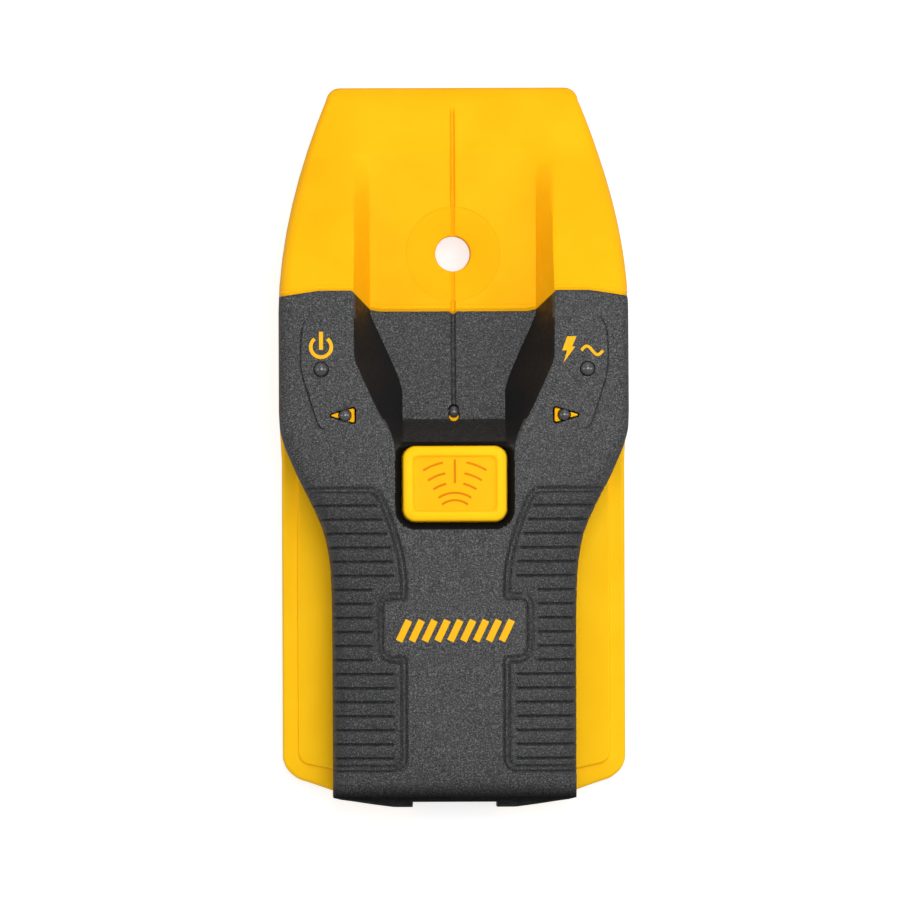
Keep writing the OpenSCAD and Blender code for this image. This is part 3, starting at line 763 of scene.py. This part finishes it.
def section_points(rows, full, t, bottom, warp, details):
    """Places of the columns in every row, as grids of x, y and z. A row bends with warp(x, y)."""
    x = np.zeros_like(rows)
    y = rows.copy()
    z = np.zeros_like(rows)
    for k, (side, (kind, u)) in enumerate(full):
        yk = rows[:, k].copy()
        for _ in range(4):
            s = section(yk, t)
            slope = FALL_POWER * s["fall"] / np.maximum(s["w"] - s["r"] - s["rim"], 0.1)
            start = math.pi / 2 - np.arctan(slope)
            xk = column_x(kind, u, s, start) * np.ones(len(yk))
            arc_x = column_x("top", 1, s, start)
            yk = rows[:, k] + warp(xk, rows[:, k])
        middle_z = base_height(arc_x, yk, t) - s["r"] * np.sin(start)
        cut = details(xk, yk) if details is not None else 0
        if kind == "arc":
            angle = start * (1 - u)
            xk = xk - cut * np.cos(angle)
            zk = middle_z + (s["r"] - cut) * np.sin(angle)
        elif kind == "side":
            zk = middle_z + (bottom(s["w"], yk) - middle_z) * u
            xk = xk - cut * max(0, 1 - u / SIDE_FADE)
        else:
            zk = base_height(xk, yk, t) - cut
        x[:, k], y[:, k], z[:, k] = side * xk, yk, zk
    return x, y, z


def closed_shell(name, outer, inner, mats, face_mat=None):
    """A shell between two grids of the same size, capped at the last row and joined at the
    first one and along both sides."""
    rows, cols, _ = outer.shape
    n = rows * cols
    points = np.vstack([outer.reshape(-1, 3), inner.reshape(-1, 3)])
    faces = grid_faces(rows, cols) + grid_faces(rows, cols, n, flip=True)
    ids = np.arange(n).reshape(rows, cols).tolist()
    end = ids[-1]
    for row in (end, [k + n for k in end[::-1]]):
        for i in range(cols // 2):
            a, b, c, d = row[i], row[i + 1], row[-2 - i], row[-1 - i]
            faces.append((a, b, c, d) if b != c else (a, b, d))
    faces.append((end[0] + n, end[-1] + n, end[-1], end[0]))
    left, right = [row[0] for row in ids], [row[-1] for row in ids]
    faces += [(a, b, b + n, a + n) for a, b in zip(left[:-1], left[1:])]
    for line in (right, ids[0]):
        faces += [(a, a + n, b + n, b) for a, b in zip(line[:-1], line[1:])]
    picks = face_mat(points, faces, n) if face_mat is not None else None
    return new_mesh(name, points, faces, mats, face_mats=picks)


def spaced(start, stop, step):
    """Even places from start up to, but not at, stop, about a step apart."""
    n = max(1, round(abs(stop - start) / step))
    return list(np.linspace(start, stop, n + 1))[:-1]


def nose_warp(x, y):
    """Bends the nose's rows so that one of them lies on the seam."""
    shift = seam_y(x) - SEAM_Y
    return shift * (1 - ease(y, SEAM_Y, SEAM_Y + 16))


def cover_warp(x, y):
    """Bends the cover's rows so that its first one lies on the seam."""
    shift = seam_y(x) - SEAM_Y
    return shift * ease(y, SEAM_Y - 14, SEAM_Y)


def no_warp(x, y):
    return np.zeros_like(x)


def cover_bottom(w, y):
    """The cover stands on the rear cover at the shoulders and on the wings along the grip."""
    tail = ease(-y, 73.5, 75.5)
    wing = WING_EDGE_Z + (WING_Z - WING_EDGE_Z) * ease(-y, 6.2, 7.0) * (1 - tail)
    return np.where(y > 1.5, PART_Z + 0.1, wing + 0.02)


def flat_bottom(w, y):
    return np.full_like(w, PART_Z)


# Rows near each rib's middle, and the rows close to the tail's end
RIB_ROWS = (0.9, 0.7, 0.5, 0.36, 0.24, 0.12, 0.0, -0.12, -0.24, -0.36, -0.5)
TAIL_ROWS = [-77.9, -78.3, -78.7, -79.05, -79.4, -79.65, -79.85, -79.95, -80.0]


def cover_rows():
    """Rows of the black cover, close together at the ribs."""
    rows = spaced(SEAM_Y, SEAM_Y - 1, 0.25) + spaced(SEAM_Y - 1, 9.8, 0.7)
    rows += spaced(9.8, 1.2, 0.4) + spaced(1.2, -1.0, 0.3) + spaced(-1.0, -9.0, 0.5)
    rows += spaced(-9.0, RIB_FIRST_Y + 1.0, 0.35)
    for i in range(RIB_COUNT):
        y = rib_y(i)
        rows += [y + d for d in RIB_ROWS]
        if i < RIB_COUNT - 1:
            rows += [y - 0.9, y - RIB_PITCH / 2, y - RIB_PITCH + 1.15]
    rows += spaced(rows[-1] - 0.4, -74, 0.4) + spaced(-74, TAIL_ROWS[0], 0.45) + TAIL_ROWS
    return sorted(set(round(r, 4) for r in rows), reverse=True)


def button_opening(grow):
    """Cutter for the button's opening, which reaches down past the plunger."""
    outline = rounded_rectangle(BUTTON_W + 2 * grow, BUTTON_L + 2 * grow, BUTTON_R + grow, 0,
                                BUTTON_Y, 10)
    return prism("opening", outline, 2, CUT_HIGH)


def arrow_window(side, grow=0.0):
    """Outline of an arrow window that points outwards."""
    points = np.array(arc(2.6, 0, 0.55, -76, 76, 7) + arc(-2.0, 1.16, 0.75, 76, 172, 7)
                      + arc(-2.0, -1.16, 0.75, 188, 284, 7))
    points = inset_outline(points, -grow)
    points[:, 0] = side * (points[:, 0] + ARROW_X - WINDOW_INBOARD)
    points[:, 1] += ARROW_Y
    return points if side > 0 else points[::-1]


def slot_outline(grow=0.0):
    """Outline of the line lens's window, which runs a little past the lens."""
    low, high = LINE_Y + SLOT_LOW + SLOT_R, LINE_Y + SLOT_HIGH - SLOT_R
    return arc(0, high, SLOT_R + grow, 0, 180, 12) + arc(0, low, SLOT_R + grow, 180, 360, 12)


def lamp_hole(r, x, y, segments=40):
    profile = [(0, CUT_LOW), (r, CUT_LOW), (r, CUT_HIGH), (0, CUT_HIGH)]
    return lathe("hole", profile, (x, y), [], segments)


def front_cutters(hole_r, segments=40, window_grow=0.0, slot_grow=0.0):
    """Cutters for the lamp holes, arrow windows, line slot and tail notch."""
    out = []
    for side in (1, -1):
        out.append(lamp_hole(hole_r, side * LAMP_X, LAMP_Y, segments))
        out.append(prism("window", arrow_window(side, window_grow), CUT_LOW, CUT_HIGH))
    out.append(prism("slot", slot_outline(slot_grow), 10, CUT_HIGH))
    out.append(prism("notch", [(-NOTCH_HALF, -90), (NOTCH_HALF, -90), (NOTCH_HALF, NOTCH_Y),
                               (-NOTCH_HALF, NOTCH_Y)], 0, CUT_HIGH))
    return out


def cover_face_mats(points, faces, first_inner):
    """Picks from COVER_MATS: smooth channel walls and underside, the smooth bezel and the grain
    elsewhere, with darker copies as painted shade on the walls, bezel, pads, ramp and tail.
    """
    centres = np.array([points[list(f)].mean(0) for f in faces])
    x, y = np.abs(centres[:, 0]), centres[:, 1]
    under = np.array([min(f) >= first_inner for f in faces])
    wall = (y > -1.5) & (x > FOOT_X(y) + 0.15) & (x < RIM_X(y) - 0.25)
    ramp = (y > 0.7) & (y < 6.2) & (x <= FOOT_X(y) + 0.15)
    bezel = rounded_box_distance(x, y - BUTTON_Y, BUTTON_W, BUTTON_L, BUTTON_R) < 1.75
    picks = np.zeros(len(faces), int)
    for where, pick in ((inside_polygon(x, y, PAD_EDGE), PICK_PAD_SHADE), (ramp, PICK_RAMP_SHADE),
                        (wall | under, PICK_SMOOTH_SHADED),
                        (bezel & (y < BUTTON_Y + 9.2), PICK_BEZEL_SHADED), (y < -74.5, PICK_TAIL_SHADE)):
        picks[where] = pick
    return picks


def crease_cutter(side):
    """Cuts the thin crease outboard of the lamps, shallower towards its ends."""
    p = resample(CREASE, 0.5)
    z = surface_height(p[:, 0], p[:, 1])
    along = np.linspace(0, 1, len(p))
    depth = 0.8 * ease(along, 0.0, 0.15) * ease(1 - along, 0.0, 0.15)
    return capsule(p * (side, 1), 0.42, z - 0.02 - depth, z + 0.6, [], "crease")


def make_cover():
    """The black grip cover, with its ribs, pads, creases and openings."""
    counts = (14, 9, 46, 9, 4)
    rows = cover_rows()

    def details(x, y):
        edge = 0.25 * np.exp(-((seam_y(x) - y) / 0.3) ** 2)
        return cover_details(x, y) + edge

    outer = front_grid(rows, counts, 0.0, cover_bottom, cover_warp, details)
    inner = front_grid(rows, counts, COVER_T, cover_bottom, cover_warp)
    obj = closed_shell("grip_cover_skin", outer, inner, COVER_MATS, cover_face_mats)
    creases = [crease_cutter(side) for side in (1, -1)]
    combine(obj, [button_opening(BUTTON_GAP)] + creases + front_cutters(1.75))
    return ride(obj, "housing", "cover_black", "grip_cover")


def surface_without_details(x, y):
    """Height of the front surface at one point, without its small details."""
    return base_height(np.array([x]), np.array([y]))[0]


def surface_height(x, y):
    """Height of the finished front surface at single points."""
    x, y = np.atleast_1d(np.asarray(x, float)), np.atleast_1d(np.asarray(y, float))
    return base_height(x, y) - cover_details(x, y)


def capsule(path, width, z_low, z_high, mats, name="strip", smooth=40):
    """A strip of even width along a path, from z_low to z_high (numbers, or one per point)."""
    p = np.array(path, float)
    t = np.gradient(p, axis=0)
    t /= np.linalg.norm(t, axis=1, keepdims=True)
    n = np.stack([-t[:, 1], t[:, 0]], 1) * width / 2
    count = len(p)
    low, high = np.broadcast_to(z_low, count), np.broadcast_to(z_high, count)
    points = []
    for side, z, inset in ((1, low, 0), (1, high - 0.06, 0), (1, high, 0.12), (-1, high, 0.12),
                           (-1, high - 0.06, 0), (-1, low, 0)):
        xy = p + side * n * (1 - 2 * inset / width)
        points += [(a, b, c) for (a, b), c in zip(xy, z)]
    rings = 6
    faces = []
    for k in range(rings):
        for i in range(count - 1):
            a, b = k * count + i, ((k + 1) % rings) * count + i
            faces.append((a, a + 1, b + 1, b))
    faces.append(tuple(k * count for k in range(rings)))
    faces.append(tuple(k * count + count - 1 for k in range(rings))[::-1])
    return new_mesh(name, points, faces, mats, smooth)


def printed_strip(path, width, rise=0.12):
    """A raised strip that follows the black cover."""
    p = np.array(path, float)
    z = surface_height(p[:, 0], p[:, 1])
    return capsule(p, width, z - 0.5, z + rise, [PRINT_YELLOW])


def printed_polygon(outline, rise=0.12):
    """A raised flat shape that follows the black cover at its corners."""
    p = np.array(outline, float)
    z = surface_height(p[:, 0], p[:, 1])
    n = len(p)
    top = inset_outline(p, 0.06)
    points = [(*a, b - 0.5) for a, b in zip(p, z)] + [(*a, b + rise - 0.05) for a, b in zip(p, z)]
    points += [(*a, b + rise) for a, b in zip(top, z)]
    faces = grid_faces(3, n, closed=True) + [tuple(range(n))[::-1], tuple(range(2 * n, 3 * n))]
    return new_mesh("polygon", points, faces, [PRINT_YELLOW], 40)


def resample(path, step):
    """Points at even steps along a polyline."""
    p = np.array(path, float)
    d = np.concatenate([[0], np.cumsum(np.hypot(*(p[1:] - p[:-1]).T))])
    n = max(2, int(d[-1] / step) + 1)
    at = np.linspace(0, d[-1], n)
    return np.stack([np.interp(at, d, p[:, 0]), np.interp(at, d, p[:, 1])], 1)


def make_symbols():
    """Power sign, bolt and wave by the lamps, and a plain row of bars low on the grip."""
    ring = printed_strip(arc(-LAMP_X, 22.3, 2.27, 90 + 38, 90 + 322, 40), 0.82)
    bar = printed_strip(resample([(-LAMP_X, 25.7), (-LAMP_X, 21.7)], 0.5), 0.9)
    bolt = printed_polygon([(25.07, 24.5), (27.15, 24.5), (26.15, 22.25), (26.85, 22.2),
                            (24.2, 18.6), (25.0, 21.35), (23.9, 21.35)][::-1])
    start, length, height, middle = 28.2, 4.8, 0.95, 21.35
    wave = printed_strip([(start + length * u, middle + height * math.sin(2 * math.pi * u))
                          for u in np.linspace(0, 1, 33)], 0.68)
    signs = join("lamp_signs", [ring, bar, bolt, wave])
    ride(signs, "housing", "shell_yellow")
    bars = []
    count, pitch, wide, tall, lean, middle = 9, 2.85, 1.55, 4.6, 1.1, -40.7
    for i in range(count):
        x = (i - (count - 1) / 2) * pitch
        path = resample([(x - lean, middle - tall / 2), (x + lean, middle + tall / 2)], 0.6)
        bars.append(printed_strip(path, wide, 0.15))
    mark = join("grip_bars", bars)
    ride(mark, "housing", "shell_yellow")


WING_CORNER = [(27.0, -76.4), (31.5, -74.8), (34.5, -73.8), (36.0, -72.8), (37.0, -71.8),
               (37.7, -70.6), (38.08, -69.0), (38.1, -66.0)]


def wing_outline():
    """Outline of the right wing, counter-clockwise, with its inner edge hidden in the grip."""
    outer = [(22, 7.0), (22, -73), (9.45, -73), (9.45, -80), (13.7, -80), (18, -79.4),
             (22.5, -78.7), (27.0, -77.9)]
    outer += [tuple(p) for p in spline(WING_CORNER, 5)]
    outer += [(38.1, -60), (38.1, -40), (38.1, -20), (38.1, -3), (38.3, 2.0), (38.5, 7.0)]
    return outer


def wing_platform():
    """Outline of the raised part of the right wing."""
    outer = [(22, 7.0), (22, -72.9), (25.5, -72.0)]
    outer += arc(31.6, -67.6, 3.1, -66, 0, 10)
    outer += [(34.75, -40), (34.75, -10), (34.9, 7.0)]
    return outer


def mirrored(outline):
    return [(-x, y) for x, y in outline][::-1]


def make_wings():
    """The wings beside the grip, each with a raised platform on it."""
    edge = [(0.12, PART_Z), (0, PART_Z + 0.12), (0, 7.45), (0.07, 7.8), (0.27, 8.1), (0.55, 8.28),
            (0.95, WING_EDGE_Z)]
    step = [(0, 7.6), (0, WING_Z - 0.45), (0.06, WING_Z - 0.22), (0.22, WING_Z - 0.06),
            (0.5, WING_Z)]
    out = []
    # Both wings take the lighter yellow, painted light against the grip's shade
    for k, flip in enumerate((lambda o: o, mirrored)):
        out.append(layered(f"wing_{k}", flip(wing_outline()), edge, [WING_YELLOW_LIT]))
        out.append(layered(f"wing_step_{k}", flip(wing_platform()), step, [WING_YELLOW_LIT]))
    return out


def nose_rows():
    """Rows of the yellow nose, close together at the seam and at the tip."""
    rows = spaced(SEAM_Y, SEAM_Y + 2, 0.2) + spaced(SEAM_Y + 2, 60, 0.8) + spaced(60, 70, 0.6)
    rows += spaced(70, 77, 0.35)
    rows += [77, 77.5, 78, 78.4, 78.8, 79.1, 79.4, 79.6, 79.8, 79.92, 80]
    return rows


def make_dish():
    """The shallow cone and tube round the marking hole, tipped with the panel's slope."""
    slope = float(PANEL_Z(MARK_Y + 8) - PANEL_Z(MARK_Y - 8)) / 16
    floor = float(PANEL_Z(MARK_Y))
    lip = floor - DISH_DEPTH
    edge = MARK_R + 0.5
    bottom = 0.15
    profile = [(MARK_R, bottom), (MARK_R, lip - 0.5)]
    profile += [(edge - 0.5 * math.cos(a), lip - 0.5 + 0.5 * math.sin(a))
                for a in np.linspace(0.3, math.pi / 2 - 0.25, 5)]
    profile += [(edge + (DISH_R - edge) * u, lip + DISH_DEPTH * u) for u in (0.03, 0.3, 0.6, 0.97)]
    profile += [(DISH_R - 0.02, floor - 0.06), (DISH_R, floor - 0.3), (DISH_R, floor - SHELL_T),
                (MARK_R + 1.6, lip - SHELL_T), (MARK_R + 1.6, bottom)]
    dish = lathe("dish_ring", profile, (0, MARK_Y), [DISH_YELLOW], 128)
    for v in dish.data.vertices:
        if v.co.z > 3 * MM:
            v.co.z += slope * (v.co.y - MARK_Y * MM)
    grooves = []
    for side in (1, -1):
        path = resample([(0, MARK_Y + side * 3.0), (0, MARK_Y + side * 11.5)], 0.5)
        r = np.clip(np.abs(path[:, 1] - MARK_Y), edge, DISH_R)
        low = lip + (r - edge) / (DISH_R - edge) * DISH_DEPTH - 0.6
        low += slope * (path[:, 1] - MARK_Y)
        grooves.append(capsule(path, 0.95, low, low + 6, [YELLOW]))
    return combine(dish, grooves, solver="EXACT")


def make_shell_body():
    """The yellow nose and the part of the shell that carries on under the black cover."""
    counts = (8, 9, 18, 8, 3)

    def details(x, y):
        edge = 0.45 * np.exp(-((y - seam_y(x)) / 0.45) ** 2)
        line = 0.12 * np.exp(-((y - seam_y(x) - 1.3) / 0.18) ** 2)
        return centre_groove(x, y) + edge + line

    rows = nose_rows()
    outer = front_grid(rows, counts, 0.0, flat_bottom, nose_warp, details)
    inner = front_grid(rows, counts, SHELL_T, flat_bottom, nose_warp)
    nose = closed_shell("nose", outer, inner, [YELLOW])

    rows = spaced(44, -74, 1.0) + [-74, -76, -77, -78, -78.5]
    t = COVER_T + SEAT
    outer = front_grid(rows, counts, t, flat_bottom, no_warp)
    inner = front_grid(rows, counts, t + SHELL_T, flat_bottom, no_warp)
    under = closed_shell("under_cover", outer, inner, [YELLOW])
    body = combine(nose, [under], "UNION")

    dish_cutter = lathe("dish", [(0, -5), (DISH_R, -5), (DISH_R, 30), (0, 30)], (0, MARK_Y), [],
                        128)
    return combine(body, [dish_cutter, button_opening(1.7)] + front_cutters(2.3, 32, 0.5, 0.6))


def make_islands():
    """Yellow floors of the arrow windows and of the line lamp's slot, round their domes."""
    out = []
    for side in (1, -1):
        z = float(surface_without_details(side * ARROW_X, ARROW_Y))
        island = layered("island", arrow_window(side, -0.36),
                         [(0, z - 4), (0, z - 0.6), (0.1, z - 0.5)], [YELLOW])
        hole = lamp_hole(1.5, side * (ARROW_X - DOME_INBOARD), ARROW_Y)
        out.append(combine(island, [hole]))
    z = float(surface_without_details(0.0, LINE_Y - 2.2))
    low = LINE_Y + SLOT_LOW
    crescent = arc(0, low + SLOT_R, 1.12, 180, 360, 12) + [(0.9, low + 1.7), (-0.9, low + 1.7)]
    out.append(layered("line_island", crescent, [(0, z - 4), (0, z - 1.2), (0.1, z - 1.1)],
                       [YELLOW]))
    return out


def make_front_shell():
    body = make_shell_body()
    obj = join("front_shell_skin", [body, make_dish()] + make_islands() + make_wings())
    return ride(obj, "housing", "shell_yellow", "front_shell")


def button_marks():
    """Paths of the scan sign: a line between two fans of arcs, over two more arcs."""
    cy = BUTTON_Y - 8.43
    marks = [resample([(0, -2.7), (0, -8.0)], 1.0)]
    for r, near, far in ((13.35, 11.2, 31.7), (10.9, 11.2, 33.3), (8.6, 12.6, 33.7)):
        for side in (1, -1):
            marks.append(arc(0, cy, r, 90 - side * near, 90 - side * far, 12))
    for r, half in ((6.4, 34.6), (4.75, 37.5)):
        marks.append(arc(0, cy, r, 90 - half, 90 + half, 16))
    return marks


def make_button():
    """The button: a cap with a sunken panel, a flange and a stem, and the sign let into it as
    darker orange strips, partly a darker tone and partly painted shade.
    """
    def outline(inset):
        return rounded_rectangle(BUTTON_W - 2 * inset, BUTTON_L - 2 * inset,
                                 BUTTON_R - 0.5 * inset, 0, BUTTON_Y, 12)

    top = BUTTON_TOP
    panel_z, panel_inset = top - 0.5, 2.2
    layers = [(0, top - 4.8), (0, top - 1.0), (0.04, top - 0.74), (0.14, top - 0.5),
              (0.32, top - 0.28), (0.6, top - 0.12), (1.0, top - 0.03), (1.45, top),
              (1.9, top - 0.02), (2.15, top - 0.1), (2.32, top - 0.28), (2.48, top - 0.42),
              (2.7, top - 0.48), (3.0, panel_z)]
    cap = layered("button_cap", outline, layers, [BUTTON_YELLOW, PANEL_YELLOW_SHADED])
    # Faces of the sunken panel take the darker yellow, painted shade in the recess
    for face in cap.data.polygons:
        across, along = abs(face.center.x) / MM, abs(face.center.y / MM - BUTTON_Y)
        if across < BUTTON_W / 2 - panel_inset and along < BUTTON_L / 2 - panel_inset:
            face.material_index = 1
    flange = layered("button_flange", rounded_rectangle(BUTTON_W + 2.2, BUTTON_L + 0.6, 3.2, 0,
                                                        BUTTON_Y - 0.8, 8),
                     fillet(top - 5.5, top - 4.7, 0.2), [BUTTON_YELLOW])
    cutters, shaded_inlays = [], []
    for path in button_marks():
        cutters.append(capsule(path, 0.5, panel_z - 0.3, panel_z + 1.0, [BUTTON_YELLOW]))
        # Strips of darker orange in the grooves: partly the marks' tone and partly painted shade
        shaded_inlays.append(capsule(path, 0.6, panel_z - 0.55, panel_z - 0.1, [ENGRAVED_SHADE]))
    combine(cap, cutters, solver="EXACT")
    stem = lathe("stem", [(0, 17.1), (2.2, 17.1), (2.2, top - 5), (0, top - 5)], (0, BUTTON_Y),
                 [BUTTON_YELLOW], 32)
    obj = join("scan_button_cap", [cap, flange, stem])
    ride(obj, "button", "button_yellow", "scan_button")
    sign = join("scan_sign", shaded_inlays)
    return ride(sign, "button", "button_yellow")


def dome(name, node, x, y, r, rise, stretch=1.0):
    """A smoked dome on a stem that reaches down to the lamp below it."""
    low, _ = box_mm(node)
    z = float(surface_without_details(x, y))
    profile = [(0, low[2]), (r * 0.85, low[2]), (r * 0.85, z - 1.2), (r, z - 1.1), (r, z - 0.35)]
    profile += [(r * math.cos(a), z - 0.35 + (rise + 0.35) * math.sin(a))
                for a in np.linspace(0.12, math.pi / 2, 10)[:-1]] + [(0, z + rise)]
    obj = lathe(name, profile, (x, y), [LENS], 40, 40, (1, stretch))
    return ride(obj, "housing", "smoked_lens", node)


def make_lenses():
    dome("power_dome", "power_lens", -LAMP_X, LAMP_Y, 1.6, 1.05)
    dome("ac_dome", "ac_lens", LAMP_X, LAMP_Y, 1.6, 1.05)
    x = ARROW_X - DOME_INBOARD
    dome("left_arrow_dome", "left_arrow_lens", -x, ARROW_Y, 1.3, 0.7)
    dome("right_arrow_dome", "right_arrow_lens", x, ARROW_Y, 1.3, 0.7)
    dome("line_dome", "line_lens", 0.0, LINE_Y - 0.28, 1.16, 0.9, 1.2)


def softened(name, node, width, body, slot, mat):
    """A copy of a CAD node with small rounded edges and its own material."""
    mesh = frame["nodes"][node].data.copy()
    obj = bpy.data.objects.new(name, mesh)
    bpy.context.scene.collection.objects.link(obj)
    mesh.materials.clear()
    mesh.materials.append(mat)
    mesh.polygons.foreach_set("material_index", [0] * len(mesh.polygons))
    bm = bmesh.new()
    bm.from_mesh(mesh)
    bmesh.ops.remove_doubles(bm, verts=bm.verts, dist=0.002 * MM)
    bmesh.ops.dissolve_limit(bm, angle_limit=math.radians(1.5), verts=bm.verts, edges=bm.edges)
    bm.to_mesh(mesh)
    bm.free()
    mod = obj.modifiers.new("soft", "BEVEL")
    mod.width = width * MM
    mod.segments = 2
    mod.limit_method = "ANGLE"
    mod.angle_limit = math.radians(30)
    mod.use_clamp_overlap = True
    mod.harden_normals = False
    apply_modifiers(obj)
    shade(obj, 35)
    return ride(obj, body, slot, node)


def make_rear_and_inside():
    """Softened copies of the larger inner parts, and materials for the rest."""
    for name, node, width, body, slot, mat in (
            ("rear_cover_skin", "rear_cover", 0.35, "housing", "rear_yellow", YELLOW),
            ("battery_door_skin", "battery_door", 0.25, "door", "door_black", DOOR_BLACK),
            ("battery_pad_skin", "battery_pad", 0.15, "door", "foam", FOAM),
            ("housing_screw_set", "housing_screws", 0.12, "housing", "screw_steel", STEEL),
            ("switch_body_skin", "switch_body", 0.15, "housing", "switch_plastic",
             PLASTIC_GREY),
            ("board_skin", "main_board", 0.08, "housing", "circuit_board", BOARD),
            ("sensor_board_skin", "sensor_board", 0.08, "housing", "circuit_board", BOARD),
            ("controller_body", "controller_chip", 0.1, "housing", "chip", CHIP),
            ("amplifier_body", "amplifier_chip", 0.1, "housing", "chip", CHIP),
            ("buzzer_body", "piezo_buzzer", 0.2, "housing", "buzzer_plastic", CHIP)):
        softened(name, node, width, body, slot, mat)
    for node, mat in (("switch_plunger", PLASTIC_BLACK), ("board_passives", CERAMIC),
                      ("filter_capacitor", SLEEVE), ("board_header", PLASTIC_BLACK),
                      ("sensor_plates", COPPER), ("power_led", LED_GREEN), ("ac_led", LED_RED),
                      ("left_arrow_led", LED_RED), ("right_arrow_led", LED_RED),
                      ("line_led", LED_WHITE), ("battery_terminals", TERMINAL),
                      ("battery_snap", PLASTIC_BLACK), ("positive_lead", LEAD_RED),
                      ("negative_lead", LEAD_BLACK), ("board_screws", STEEL)):
        for material_slot in frame["nodes"][node].material_slots:
            material_slot.material = mat


def make_battery():
    """A 9 V block in a plain two-colour sleeve, with crimped ends."""
    low, high = box_mm("battery_case")
    w, length, h = high - low
    cx, cz = (low[0] + high[0]) / 2, (low[2] + high[2]) / 2
    outline = rounded_rectangle(w, h, 2.0, 0, 0, 8)
    gold_from = length * 0.7
    crimp = [(0.35, 0), (0.1, 0.08), (0, 0.3), (0, 1.1), (0.28, 1.25), (0.28, 1.5), (0, 1.65)]
    stations = crimp + [(0, gold_from), (0, gold_from + 0.01)]
    stations += [(inset, length - along) for inset, along in crimp[::-1]]
    n = len(outline)
    points, faces, mats = [], [], []
    for inset, along in stations:
        points += [(cx + x, low[1] + along, cz + z) for x, z in inset_outline(outline, inset)]
    for j in range(len(stations) - 1):
        for f in grid_faces(2, n, j * n, flip=True, closed=True):
            faces.append(f)
            y = stations[j][1]
            mats.append(2 if y < 1.2 or y > length - 1.6 else (1 if y > gold_from else 0))
    faces += [tuple(range(n)), tuple(range((len(stations) - 1) * n, len(stations) * n))[::-1]]
    mats += [2, 2]
    obj = new_mesh("battery_sleeve", points, faces, [WRAP_DARK, WRAP_GOLD, TERMINAL], 35, mats)
    return ride(obj, "housing", "battery_wrap", "battery_case")


def make_camera():
    """A camera straight above, far enough for an almost flat view, leaning a little."""
    sensor, distance, front_z, view_width = 36, 5.0, 0.018, 0.2
    aim = (-0.00058, -0.00037, 0.009)
    lean, roll = math.radians(-0.9), math.radians(-0.2)
    cam = bpy.data.cameras.new("camera")
    cam.sensor_width = sensor
    cam.lens = sensor * (distance - front_z) / view_width
    cam.dof.use_dof = False
    obj = bpy.data.objects.new("camera", cam)
    obj.location = (aim[0] + distance * math.sin(lean), aim[1], distance * math.cos(lean))
    obj.rotation_euler = (0, lean, roll)
    bpy.context.scene.collection.objects.link(obj)
    bpy.context.scene.camera = obj


def make_lights():
    """A white surround and soft boxes: overhead, past the nose and at both sides."""
    world = bpy.data.worlds.new("studio")
    world.use_nodes = True
    background = world.node_tree.nodes["Background"]
    background.inputs["Color"].default_value = (1, 1, 1, 1)
    background.inputs["Strength"].default_value = 0.5
    bpy.context.scene.world = world
    for name, place, size, power in (
            ("overhead", (0.12, 0.15, 0.95), (0.5, 0.5), 4.6),
            ("nose_side", (0.1, 0.75, 0.6), (0.7, 0.3), 1.1),
            ("right_side", (0.8, 0.05, 0.6), (0.3, 0.7), 2.2),
            ("left_side", (-0.8, 0.05, 0.6), (0.3, 0.7), 1.5)):
        light = bpy.data.lights.new(name, "AREA")
        light.shape = "RECTANGLE"
        light.size, light.size_y = size
        light.energy = power
        lamp = bpy.data.objects.new(name, light)
        lamp.location = place
        lamp.rotation_euler = (-Vector(place)).to_track_quat("-Z", "Y").to_euler()
        bpy.context.scene.collection.objects.link(lamp)


def make_floor():
    """A pale floor that is clear from below."""
    m = Nodes("floor", (0.9, 0.9, 0.9), 0.9)
    m.finish(m.ramp(m.noise(6, 2), [(0.3, (0.40,) * 3), (0.7, (0.42,) * 3)]))
    m.bsdf.inputs["Emission Color"].default_value = (1, 1, 1, 1)
    m.bsdf.inputs["Emission Strength"].default_value = 0.72
    mix = m.add("MixShader")
    m.link(m.add("NewGeometry").outputs["Backfacing"], mix.inputs[0])
    m.link(m.bsdf.outputs[0], mix.inputs[1])
    m.link(m.add("BsdfTransparent").outputs[0], mix.inputs[2])
    m.link(mix.outputs[0], m.tree.nodes["Material Output"].inputs["Surface"])
    half, z = 3000, -0.2
    floor = new_mesh("floor", [(-half, -half, z), (half, -half, z), (half, half, z),
                               (-half, half, z)], [(0, 1, 2, 3)], [m.mat])
    floor.visible_diffuse = False
    floor.visible_glossy = False


def set_view():
    """Plain colours, without a film look."""
    view = bpy.context.scene.view_settings
    view.view_transform = "Standard"
    view.look = "None"
    view.exposure = 0.0


make_camera()
make_lights()
make_floor()
set_view()
make_cover()
make_front_shell()
make_button()
make_lenses()
make_symbols()
make_rear_and_inside()
make_battery()
